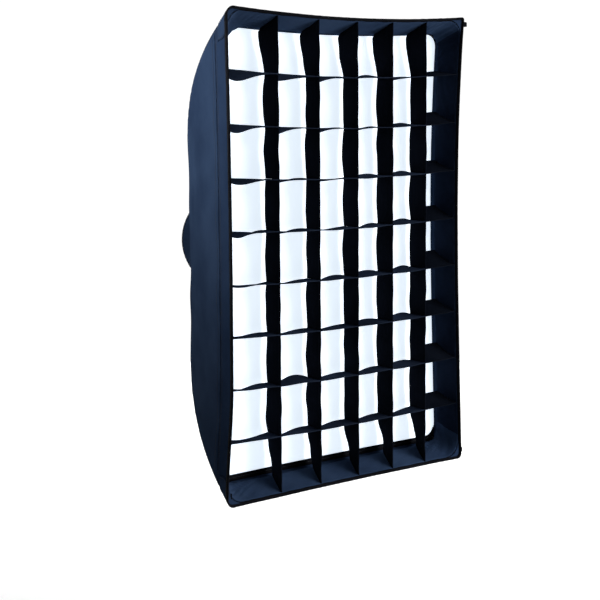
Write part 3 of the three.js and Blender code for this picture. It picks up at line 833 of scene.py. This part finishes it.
def rods():
    for i, (side_x, side_z) in enumerate(CORNERS):
        path = corner_point(side_x, side_z, np.linspace(14 * MM, DEPTH, 90))
        rod = tube(f"sprung_rod_{i + 1}", path, ROD_R, [ROD_PAINT], sides=18)
        finish_piece(rod, "box", [f"rod_{i + 1}"])
        t = np.linspace(8 * MM, 22 * MM, 15)
        rounding = ((12 * MM - t) / (4.6 * MM)).clip(0) ** 2
        radii = ROD_CAP_R * np.sqrt((1 - rounding).clip(0.03))
        radii = np.where(t > 20 * MM, ROD_CAP_R - 0.5 * MM, radii)
        tip = tube(f"rod_cap_{i + 1}", corner_point(side_x, side_z, t), radii, [RUBBER], sides=24)
        finish_piece(tip, "box", [f"rod_tip_{i + 1}"])
        rod_socket(i, side_x, side_z)


def rod_socket(i, side_x, side_z):
    """Sleeve round the rod's inner end, on a foot that stands on the speed ring."""
    end = corner_point(side_x, side_z, np.array(DEPTH))
    inward = unit(end - corner_point(side_x, side_z, np.array(DEPTH - 2 * MM)))
    at = np.array([-24, -23.6, -23, -19, -18.5, -17.5, -17, 2, 5, 6]) * MM
    radii = np.array([5.4, 6.1, 6.5, 6.5, 6.1, 6.1, 6.5, 6.5, 6.3, 5.4]) * MM
    sleeve = tube("sleeve", end + at[:, None] * inward, radii, [ALUMINIUM], sides=32)
    foot_centre = (end[0] * 0.9, RING_LOW.y - 4.8 * MM, end[2] * 0.9)
    foot = block("foot", (13 * MM, 9 * MM, 13 * MM), foot_centre, ALUMINIUM, 1.2 * MM)
    socket = join(f"rod_holder_{i + 1}", [sleeve, foot])
    finish_piece(socket, "box", [f"rod_socket_{i + 1}"])


# Bore of the adapter and of the ring that holds it.
ADAPTER_BORE = 50 * MM


def speed_ring():
    """The ring that the rods stand on, with a step, a groove round its rim and eight screws."""
    back, front, rim, bore = RING_HIGH.y, RING_LOW.y, RING_HIGH.x, 56.5 * MM
    profile = [
        (bore, back), (66 * MM, back), (67 * MM, back - 1 * MM), (75 * MM, back - 1 * MM),
        (77.5 * MM, back), (rim - 2 * MM, back), (rim, back - 2 * MM), (rim, back - 4.5 * MM),
        (rim - 1 * MM, back - 5.5 * MM), (rim - 1 * MM, back - 7 * MM), (rim, back - 8 * MM),
        (rim, front + 2 * MM), (rim - 2 * MM, front), (82 * MM, front), (80 * MM, front + 1 * MM),
        (66 * MM, front + 1 * MM), (64 * MM, front), (bore, front),
    ]
    body = lathe("speed_ring_body", profile, [ALUMINIUM])
    finish_piece(body, "box", ["speed_ring"])
    heads = []
    for angle in (np.arange(8) + 0.5) * math.pi / 4:
        seat = (82 * MM * math.cos(angle), back, 82 * MM * math.sin(angle))
        heads.append(cap_screw("ring_screw", seat, 2.3 * MM, 1.5 * MM))
    finish_piece(join("speed_ring_screws", heads), "box")


def adapter():
    """The flash side: a flange with a bearing neck in front and a spigot with three lugs behind."""
    low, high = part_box("bayonet_adapter")
    spigot, flange, neck = 58 * MM, 76 * MM, 56 * MM
    profile = [
        (ADAPTER_BORE, high.y), (spigot, high.y), (spigot, 1.5 * MM), (spigot + 1.5 * MM, 0),
        (flange - 1 * MM, 0), (flange, -1 * MM), (flange, -5 * MM), (flange - 1 * MM, -6 * MM),
        (neck, -6 * MM), (neck, low.y), (ADAPTER_BORE, low.y),
    ]
    parts = [lathe("adapter_body", profile, [ALUMINIUM])]
    for k in range(3):
        parts.append(arc_block("lug", 2 * math.pi * k / 3, 0.6, (54 * MM, 66 * MM), (9 * MM, 14 * MM)))
    body = join("bayonet_adapter_body", parts)
    finish_piece(body, "flash_adapter", ["bayonet_adapter"])


def retaining_ring():
    """The ring that keeps the speed ring on the adapter, and its three screws."""
    low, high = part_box("retaining_ring")
    profile = [
        (ADAPTER_BORE, high.y), (high.x, high.y), (high.x, low.y + 0.8 * MM),
        (high.x - 0.8 * MM, low.y), (ADAPTER_BORE, low.y),
    ]
    retainer = lathe("retaining_ring_body", profile, [ALUMINIUM])
    finish_piece(retainer, "flash_adapter", ["retaining_ring"])
    for k in range(3):
        low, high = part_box(f"retaining_screw_{k + 1}")
        middle = (low + high) / 2
        seat = (middle.x, high.y, middle.z)
        screw = cap_screw(f"retaining_cap_screw_{k + 1}", seat, 3 * MM, -2 * MM)
        finish_piece(screw, "flash_adapter", [f"retaining_screw_{k + 1}"])


# Radius at the middle of a turned part without a bore.
NEARLY_0 = 0.02 * MM


def cap_screw(name, seat, radius, height):
    """A round head with a recess, on the Y axis."""
    deep = 0.45 * height
    profile = [
        (NEARLY_0, deep), (0.45 * radius, deep), (0.5 * radius, height), (0.85 * radius, height),
        (radius, 0.8 * height), (radius, 0), (NEARLY_0, 0),
    ]
    return lathe(name, profile, [STEEL], steps=36, centre=seat)


def arc_block(name, angle, width, radii, heights):
    """A block that is a piece of a ring about the Y axis, as the CAD's lugs are."""
    angles = -np.linspace(angle - width / 2, angle + width / 2, 14)
    (r0, r1), (y0, y1) = radii, heights
    corners = rounded_profile([(r0, y0), (r1, y0), (r1, y1), (r0, y1)], 0.8 * MM)
    corners.append(corners[0])
    points = [[(r * math.cos(a), y, r * math.sin(a)) for a in angles] for r, y in corners]
    return close_up(grid_object(name, np.array(points), [ALUMINIUM]))


def screw_head(y, start):
    """A lobed grip with a wing across it, on the Z axis."""
    heights = np.array([0, 0, 2, 3.5, 12, 14, 14]) * MM + start
    radii = [NEARLY_0, 6.5 * MM, 7 * MM, 9.2 * MM, 9.4 * MM, 8 * MM, NEARLY_0]
    lobes = (12, 0.45 * MM, start + 3 * MM, start + 13 * MM)
    profile = list(zip(radii, heights))
    grip = lathe("grip", profile, [PLASTIC], steps=96, axis="Z", centre=(0, y, 0), lobes=lobes)
    wing = block("wing", (30 * MM, 5 * MM, 12 * MM), (0, y, start + 15 * MM), PLASTIC, 2.2 * MM)
    return [grip, wing]


def screw_shaft(y):
    """A threaded shaft that starts inside the speed ring's rim."""
    crest, root = 3 * MM, 2.6 * MM
    thread = []
    for z in RING_HIGH.x - 2 * MM + np.arange(9) * 1.25 * MM:
        thread += [(crest, z), (root, z + 0.6 * MM)]
    low, high = thread[0][1] - 1 * MM, thread[-1][1] + 0.5 * MM
    profile = [(NEARLY_0, low), (root, low), *thread, (NEARLY_0, high)]
    return lathe("shaft", profile, [STEEL], steps=32, axis="Z", centre=(0, y, 0))


def lock_screws():
    """Hand screws that stop the speed ring from turning; the lower one is the upper one mirrored."""
    for i, (body, side) in enumerate((("lock_screw_top", 1), ("lock_screw_bottom", -1))):
        low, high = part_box(f"lock_screw_{i + 1}")
        y = (low.y + high.y) / 2
        outer = high.z if side > 0 else -low.z
        screw = join(f"lock_hand_screw_{i + 1}", [*screw_head(y, outer - 21 * MM), screw_shaft(y)])
        if side < 0:
            screw.data.transform(Matrix.Scale(-1, 4, (0, 0, 1)))
            screw.data.flip_normals()
        finish_piece(screw, body, [f"lock_screw_{i + 1}"])


# ---- diffusers ----
def rounded_sheet(w, z_low, z_high, radius, columns=110, rows=150):
    """Plain x and z of a grid that fills a rectangle with round corners."""
    arc = np.sin(np.linspace(0, 1, 9) * math.pi / 2) * radius
    straight = np.linspace(z_low + radius, z_high - radius, rows)
    z = np.concatenate([z_low + radius - arc[:0:-1], straight, z_high - radius + arc[1:]])
    over = np.maximum(0, np.maximum(z - (z_high - radius), z_low + radius - z))
    span = w - radius + np.sqrt(np.maximum(0, radius**2 - over**2))
    u = np.linspace(-1, 1, columns)
    return span[:, None] * u[None, :], z[:, None] * np.ones(columns)[None, :]


def diffuser():
    """The white front sheet, with a hem that hooks to the ledge."""
    t0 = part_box("diffuser")[0].y - FRONT_Y + 0.8 * MM
    w, top, bottom = half_w(t0) - 1.8 * MM, half_h(t0) - 1.8 * MM, -half_h(t0) + 12.5 * MM
    x, z = rounded_sheet(w, bottom, top, 28 * MM)
    edge = np.minimum(w - np.abs(x), np.minimum(top - z, z - bottom))
    free = smooth(edge, 0, 45 * MM)
    folds = 2.2 * MM * wrinkles("diffuser", x, z, 150 * MM, 420 * MM) * free
    folds = folds + 0.9 * MM * wrinkles("diffuser fine", x, z, 48 * MM, 160 * MM) * free
    gathers = 0.5 * MM * wrinkles("diffuser edge", x + z, z - x, 26 * MM, 26 * MM)
    gathers = gathers * np.exp(-edge / (16 * MM))
    t = t0 - 1.8 * MM * free + np.minimum(0.0, folds + gathers - 1.2 * MM * free)
    points = place(x, z, t0)
    points[:, :, 1] = FRONT_Y + t
    obj = cloth("front_diffuser_sheet", points[::-1], [WHITE], 0.25 * MM, offset=0)
    finish_piece(obj, "front_diffuser", ["diffuser"])
    added = diffuser_hem(t0)


def diffuser_hem(t0):
    """The hem's tape and stitches; it shows only along the bottom, where it is turned forward. There the
    black tape is drawn wider than the hem, so it is partly the hem and partly painted shade where the
    sheet meets the wall.
    """
    steps = (2, 3.4, 4.7, 6)
    points = np.array([ring(t0 + 0.7 * MM, step * MM, (30 - step) * MM) for step in steps])
    low_side = smooth(-points[:, :, 2], HALF_H * 0.86, HALF_H * 0.9)
    # Partly painted shade: along the bottom the black tape is turned forward and spread over 8 mm more,
    # standing for the hem and for the shade below the sheet.
    points[:, :, 1] -= 2.4 * MM * low_side
    points[:, :, 2] += 8 * MM * low_side * np.linspace(0, 1, 4)[:, None]
    hem = cloth("diffuser_hem_tape", points, [WEBBING], 0.4 * MM, closed=True, offset=0)
    finish_piece(hem, "front_diffuser", ["diffuser_hem"])
    line = (points[1] + points[2]) / 2 + np.array([0, -0.35 * MM, 0])
    thread = stitches("diffuser_stitches", seam_line(line, closed=True), "front_diffuser")
    return [hem, thread]


STRAP_WIDTH = 12 * MM


def baffle():
    """The small inner sheet, hung on four straps."""
    low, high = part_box("inner_baffle")
    y = (low.y + high.y) / 2
    w, h = high.x, high.z
    x, z = rounded_sheet(w, -h, h, 8 * MM, 70, 90)
    sag = 1 - np.abs(x / w) ** 3 * np.abs(z / h) ** 3
    depth = y + 3 * MM * wrinkles("baffle", x, z, 130 * MM, 300 * MM) * sag
    pull = 5 * MM * (1 - (x / w) ** 2) * (z / h) ** 2 * np.sign(z)
    points = np.stack([x, depth, z - pull], axis=-1)
    obj = cloth("inner_baffle_sheet", points[::-1], [BAFFLE_WHITE], 0.3 * MM, offset=0)
    finish_piece(obj, "baffle", ["inner_baffle"])
    border = np.concatenate([points[0], points[1:, -1], points[-1, -2::-1], points[-2:0:-1, 0]])
    inward = border * np.array([0.975, 1, 0.985])
    pairs = seam_line(inward - np.array([0, 0.3 * MM, 0]), closed=True)
    stitches("baffle_stitches", pairs, "baffle", TACK_THREAD)
    for i, (side_x, side_z) in enumerate(CORNERS):
        inner = np.array([side_x * (w - 12 * MM), y - 1.2 * MM, side_z * (h - 14 * MM)])
        baffle_strap(i, side_x, side_z, inner)


def baffle_strap(i, side_x, side_z, inner):
    """A strap from a corner of the baffle to the rod there, with a slight dip."""
    low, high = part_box(f"baffle_strap_{i + 1}")
    outer_x = (high.x if side_x > 0 else -low.x) - 4 * MM
    outer_z = (high.z if side_z > 0 else -low.z) - 4 * MM
    outer = np.array([side_x * outer_x, inner[1] + 0.6 * MM, side_z * outer_z])
    along = outer - inner
    share = np.linspace(0, 1, 26)[:, None, None]
    bend = np.sin(math.pi * share)
    across = np.cross(unit(along), [0, 1, 0]) * STRAP_WIDTH / 2
    across = np.linspace(-1, 1, 7)[None, :, None] * across * (1 - 0.15 * bend)
    points = inner + share * along + across + 1.5 * MM * bend * np.array([0, 1, 0])
    strap = cloth(f"baffle_strap_{i + 1}_tape", points, [WEBBING], 0.7 * MM, offset=0)
    finish_piece(strap, "baffle", [f"baffle_strap_{i + 1}"])


# ---- grid ----
GRID_LOW, GRID_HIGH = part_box("grid_frame")
GRID_T = (GRID_LOW.y - FRONT_Y, GRID_HIGH.y - FRONT_Y)
FRAME_BACK_RADII = np.array([36, 70, 34, 34]) * MM
STRIP_THICK = 1.8 * MM
SLOT = 1 * MM
DEPTH_ROWS = 13
DEPTH_SHARE = np.linspace(0, 1, DEPTH_ROWS)[:, None]
COLUMN_X = [sum(c.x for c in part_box(f"grid_upright_{i}")) / 2 for i in range(1, 6)]
ROW_Z = [sum(c.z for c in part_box(f"grid_level_{i}")) / 2 for i in range(1, 9)]
LAST_COLUMN, LAST_ROW = len(COLUMN_X), len(ROW_Z)
# Where each upright strip's front and back edges stand beside its line, in mm, left to right.
UPRIGHT_FRONT = [-1, 2.5, 4.5, 1, -3]
UPRIGHT_BACK = [5, 9.5, 9.5, 4, 0]
# How far the back edge of each level strip hangs or rises within its first five cells, in mm,
# lowest strip first.
LEVEL_SAG = [
    [-7, -6, -4, -4, -6],
    [-6, 3, -3, -4, 3],
    [-3, -4, -4, 3, 4],
    [-9, -5, -3, 4, 3],
    [-10, -4, -3, -3, 3],
    [-11, -4, -5, 4, 4],
    [-11, -8, -7, -4, 4],
    [-14, -8, -7, 3, -4],
]
# How far it rises in the last cell, in mm: most strips about the first, the top strip the second.
LAST_CELL_LIFT, TOP_STRIP_LIFT = 24, 7
CELL_STEPS = 22
# Columns of points at each end of a strip that move to the grid's frame.
END_COLUMNS = 20


def strip_ends(node_name, axis):
    """The two ends of a CAD strip, just short of the frame."""
    low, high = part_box(node_name)
    return low[axis] + 0.2 * MM, high[axis] - 0.2 * MM


def samples_between(start, end, crossings):
    """Places along a strip: even steps in each cell, and both sides of every slot."""
    stops = [start]
    for c in crossings:
        stops += [c - SLOT, c + SLOT]
    stops.append(end)
    places = []
    for a, b in zip(stops[::2], stops[1::2]):
        places += list(np.linspace(a, b, CELL_STEPS))
    return np.array(places)


def cell_share(value, crossings, start, end):
    """The cell a place is in, and its share of the way through it."""
    stops = [start, *crossings, end]
    cell = np.clip(np.searchsorted(stops, value, side="right") - 1, 0, len(stops) - 2)
    stops = np.array(stops)
    return cell, (value - stops[cell]) / (stops[cell + 1] - stops[cell])


def grid_strip(name, points, slots, upright):
    """Cloth strip with a slot from one edge to its middle at each crossing."""
    middle = (points.shape[0] - 1) // 2

    def keep(i, j):
        return j not in slots or (i < middle if upright else i >= middle)

    # Upright strips get the darker copy of the nylon: painted shade.
    material = UPRIGHT_SHADED_CLOTH if upright else LEVEL_CLOTH
    return cloth(name, points, [material], STRIP_THICK, offset=0, keep=keep)


def slot_columns(places, crossings):
    return {int(np.searchsorted(places, c)) - 1 for c in crossings}


def level_line(i, x):
    """Height of a level strip's front edge: both ends are pulled up a little."""
    wave = wrinkles(f"level {i}", x, 0 * x, 110 * MM, 1)
    pull = (5 + 0.8 * i) * ((x - COLUMN_X[2]) / HALF_W) ** 2 - 1
    return ROW_Z[i] + pull * MM + 0.8 * MM * wave


def upright_side(j, depth):
    """Sideways place of an upright strip where a level strip crosses it."""
    return (UPRIGHT_FRONT[j] + (UPRIGHT_BACK[j] - UPRIGHT_FRONT[j]) * depth**1.3) * MM


def fit_ends(points, axis):
    """Moves a strip's two ends to the grid's frame, whose walls taper with depth."""
    inset = FRAME_INSET + 0.6 * MM
    fade = np.linspace(1, 0, END_COLUMNS)
    for side, column in ((-1, 0), (1, -1)):
        held = points[:, column]
        t = held[:, 1] - FRONT_Y
        if axis == 2:
            wall = place(held[:, 0], side * (half_h(t) - inset), t)[:, 2]
        else:
            wall = place(side * (half_w(t) - inset), held[:, 2], t)[:, 0]
        span = slice(0, END_COLUMNS) if side < 0 else slice(-END_COLUMNS, None)
        points[:, span, axis] += np.outer(wall - held[:, axis], fade[:: -side])
    return points


def hang_strip(name, node_name, points, places, crossings, upright):
    """Makes a strip, fitted to the frame and slotted at its crossings."""
    points = fit_ends(points, 2 if upright else 0)
    obj = grid_strip(name, points, slot_columns(places, crossings), upright)
    finish_piece(obj, "grid", [node_name])
    return obj


def upright_strip(j):
    """An upright strip: each cell bulges sideways, and the lowest cell flares or leans."""
    name = f"grid_upright_{j + 1}"
    start, end = strip_ends(name, 2)
    crossings = [float(level_line(i, COLUMN_X[j])) for i in range(LAST_ROW)]
    z = samples_between(start, end, crossings)
    cell, share = cell_share(z, crossings, start, end)
    chance = random.Random(f"upright {j}")
    amplitude = np.array([chance.uniform(0.5, 5.5) for _ in range(LAST_ROW + 1)])[cell] * MM
    lean = np.array([chance.uniform(-1, 1) for _ in range(LAST_ROW + 1)])[cell]
    swell = np.sin(math.pi * share)
    bulge = amplitude * swell * (1 + 0.5 * lean * np.cos(math.pi * share)) * (cell < LAST_ROW)
    rise = 15 * MM * (1 - (1 - share) ** 1.6) * (1 - 0.35 * smooth(share, 0.9, 1))
    lean_out = np.where(cell == LAST_ROW, rise, 0)
    flare = (10 + 2 * j) * MM * smooth(-z, -crossings[0], -start - 25 * MM)
    x = COLUMN_X[j] + upright_side(j, DEPTH_SHARE)
    x = x + (flare - bulge - lean_out) * DEPTH_SHARE**1.3
    x = x + 1.6 * MM * wrinkles(name, z, 0 * z, 90 * MM, 1) * swell
    y = FRONT_Y + lerp(*GRID_T, DEPTH_SHARE)
    points = np.stack(np.broadcast_arrays(x, y, z), axis=-1)
    hang_strip(f"upright_strip_{j + 1}", name, points, z, crossings, True)


def level_strip(i):
    """A level strip: its back edge sags or rises in each cell, and the last cell has painted shade, the
    uprights' darker cloth.
    """
    name = f"grid_level_{i + 1}"
    start, end = strip_ends(name, 0)
    x = samples_between(start, end, COLUMN_X)
    cell, share = cell_share(x, COLUMN_X, start, end)
    chance = random.Random(f"level {i}")
    lean = np.array([chance.uniform(-0.4, 0.4) for _ in range(LAST_COLUMN + 1)])[cell]
    hump = np.array([chance.uniform(0.5, 4.5) for _ in range(LAST_COLUMN + 1)])[cell]
    sag = np.array([*LEVEL_SAG[i], 0])[cell] * np.sin(math.pi * share)
    sag = sag * (1 + lean * np.cos(math.pi * share)) - hump * np.sin(2 * math.pi * share)
    lift = TOP_STRIP_LIFT if i == LAST_ROW - 1 else LAST_CELL_LIFT + chance.uniform(-4, 4)
    back = np.where(cell == LAST_COLUMN, lift * smooth(share, 0, 0.5), sag) * MM
    z = level_line(i, x) + back * DEPTH_SHARE**1.4
    beside = 0
    for j, column in enumerate(COLUMN_X):
        beside = beside + upright_side(j, DEPTH_SHARE) * np.exp(-(((x - column) / (20 * MM)) ** 2))
    y = FRONT_Y + lerp(*GRID_T, DEPTH_SHARE)
    points = np.stack(np.broadcast_arrays(x + beside, y, z), axis=-1)
    obj = hang_strip(f"level_strip_{i + 1}", name, points, x, COLUMN_X, False)
    # The last cell, in the right wall's shade, gets the uprights' darker cloth: painted shade.
    obj.data.materials.append(UPRIGHT_SHADED_CLOTH)
    for face in obj.data.polygons:
        face.material_index = int(face.center.x > COLUMN_X[-1])


def bar_tacks():
    """Short grey stitches that hold the strips together where they cross."""
    pairs = []
    for j, column in enumerate(COLUMN_X):
        for i in range(LAST_ROW):
            z = float(level_line(i, column))
            for side in (-1, 1):
                for k in range(3):
                    depth = 0.03 + 0.025 * k
                    x = column + float(upright_side(j, depth)) + side * 0.65 * MM
                    start = np.array([x, FRONT_Y + lerp(*GRID_T, depth), z - 1.6 * MM])
                    pairs.append((start, start + np.array([0, 0.4 * MM, 3.2 * MM])))
    stitches("grid_bar_tacks", pairs, "grid", TACK_THREAD, 0.45 * MM)


def frame_row(share):
    """A loop of the frame, with creases drawn into its corners; share is 0 at the front."""
    t = lerp(*GRID_T, share)
    rounder = float(smooth(share, 0.5, 1))
    loop = ring(t, FRAME_INSET, lerp(FRAME_FRONT_R, FRAME_BACK_RADII, rounder))
    s = distance_along(loop)
    from_corner = np.hypot(half_w(t) - np.abs(loop[:, 0]), half_h(t) - np.abs(loop[:, 2]))
    creases = 8 * MM * np.maximum(0, 1 - from_corner / (105 * MM)) * float(smooth(share, -0.2, 0.4))
    creases = np.abs(creases * wrinkles("frame creases", s, t, 30 * MM, 150 * MM))
    inward = 0.5 * MM * wrinkles("frame", s, t, 60 * MM, 80 * MM)
    inward = np.maximum(inward + 0.7 * MM * np.sin(math.pi * share), -0.3 * MM)
    return loop - outward(loop) * (creases + inward)[:, None]


def grid_frame():
    """The four-sided cloth frame that the strips are sewn to; its right side and the start of its top
    right corner have painted shade, a darker copy of the navy.
    """
    points = np.array([frame_row(share) for share in np.linspace(0, 1, 16)])
    obj = cloth("grid_frame_cloth", points, [NAVY], 0.6 * MM, closed=True, offset=0)
    obj.data.materials.append(SHADED_NAVY)
    columns = points.shape[1]
    # Faces from here round the right side, and the first columns of the top right corner, get the
    # painted shade.
    painted_shade_start = 3 * columns // 4 + ARC_STEPS + 6
    for face in obj.data.polygons:
        column = face.index % columns
        face.material_index = int(column >= painted_shade_start or column < ARC_STEPS // 3)
    finish_piece(obj, "grid", ["grid_frame"])


def grid():
    grid_frame()
    for j in range(LAST_COLUMN):
        upright_strip(j)
    for i in range(LAST_ROW):
        level_strip(i)
    bar_tacks()


# ---- stage ----
FLOOR_Z = -1.75
# Brightness of the room, except behind the object, where it is white.
AMBIENT = 0.1


def stage():
    """A plain pale floor."""
    steps, radius = 96, 9
    turns = np.linspace(0, 2 * math.pi, steps, endpoint=False)
    rim = [(radius * math.cos(turn), radius * math.sin(turn), FLOOR_Z) for turn in turns]
    mesh = bpy.data.meshes.new("floor")
    mesh.from_pydata(rim, [], [tuple(range(steps))])
    material, _, _ = principled("pale_floor", (0.9, 0.9, 0.9), 0.9)
    mesh.materials.append(material)
    floor = bpy.data.objects.new("floor", mesh)
    bpy.context.scene.collection.objects.link(floor)


def world():
    """A soft grey room that is white behind the object."""
    made = bpy.data.worlds.new("studio")
    made.use_nodes = True
    tree = made.node_tree
    direction = node(tree, "ShaderNodeTexCoord")
    toward = node(tree, "ShaderNodeVectorMath", operation="DOT_PRODUCT")
    toward.inputs[1].default_value = (0.642, 0.757, -0.12)
    tree.links.new(direction.outputs["Generated"], toward.inputs[0])
    grey, white = 3 * (AMBIENT,), 3 * (1.05,)
    shade = colour_between(tree, toward.outputs["Value"], grey, white, 0.78, 0.93)
    tree.links.new(shade, tree.nodes["Background"].inputs["Color"])
    bpy.context.scene.world = made


def add_light(kind, name, at, target, power, size):
    data = bpy.data.lights.new(name, kind)
    data.energy = power
    if kind == "AREA":
        data.shape = "DISK"
        data.size = size
    else:
        data.shadow_soft_size = size
    light = bpy.data.objects.new(name, data)
    light.location = at
    light.rotation_euler = (Vector(target) - Vector(at)).to_track_quat("-Z", "Y").to_euler()
    bpy.context.scene.collection.objects.link(light)
    return data


def lights():
    side = add_light("SPOT", "side_key", (-2.6, 1.1, 1.5), (-0.28, -0.3, 0.52), 680, 0.25)
    side.spot_size = math.radians(26)
    side.spot_blend = 1.0
    add_light("AREA", "front_high", (1.7, -2.4, 1.9), (0, -0.45, -0.1), 95, 2.4)
    add_light("AREA", "front_low", (1.4, -2.0, -0.85), (0, -0.45, 0.1), 40, 1.2)
    add_light("AREA", "floor_light", (6.5, 6.5, 1.3), (6.5, 6.5, FLOOR_Z), 900, 13)


def camera():
    data = bpy.data.cameras.new("camera")
    data.sensor_width = 36
    data.lens = 89.45
    view = bpy.data.objects.new("camera", data)
    yaw, pitch, roll = (math.radians(a) for a in (40.311, -7.034, -0.386))
    turn = Matrix.Rotation(-yaw, 4, "Z") @ Matrix.Rotation(math.pi / 2 + pitch, 4, "X")
    turn = turn @ Matrix.Rotation(roll, 4, "Z")
    view.matrix_world = Matrix.Translation((-1.913, FRONT_Y - 2.096, 0.256)) @ turn
    bpy.context.scene.collection.objects.link(view)
    bpy.context.scene.camera = view


shell()
front_band()
edge_binding()
corner_pockets()
linings()
rear_collar()
rods()
speed_ring()
adapter()
retaining_ring()
lock_screws()
diffuser()
baffle()
grid()
stage()
world()
lights()
camera()
bpy.context.scene.view_settings.view_transform = "Standard"
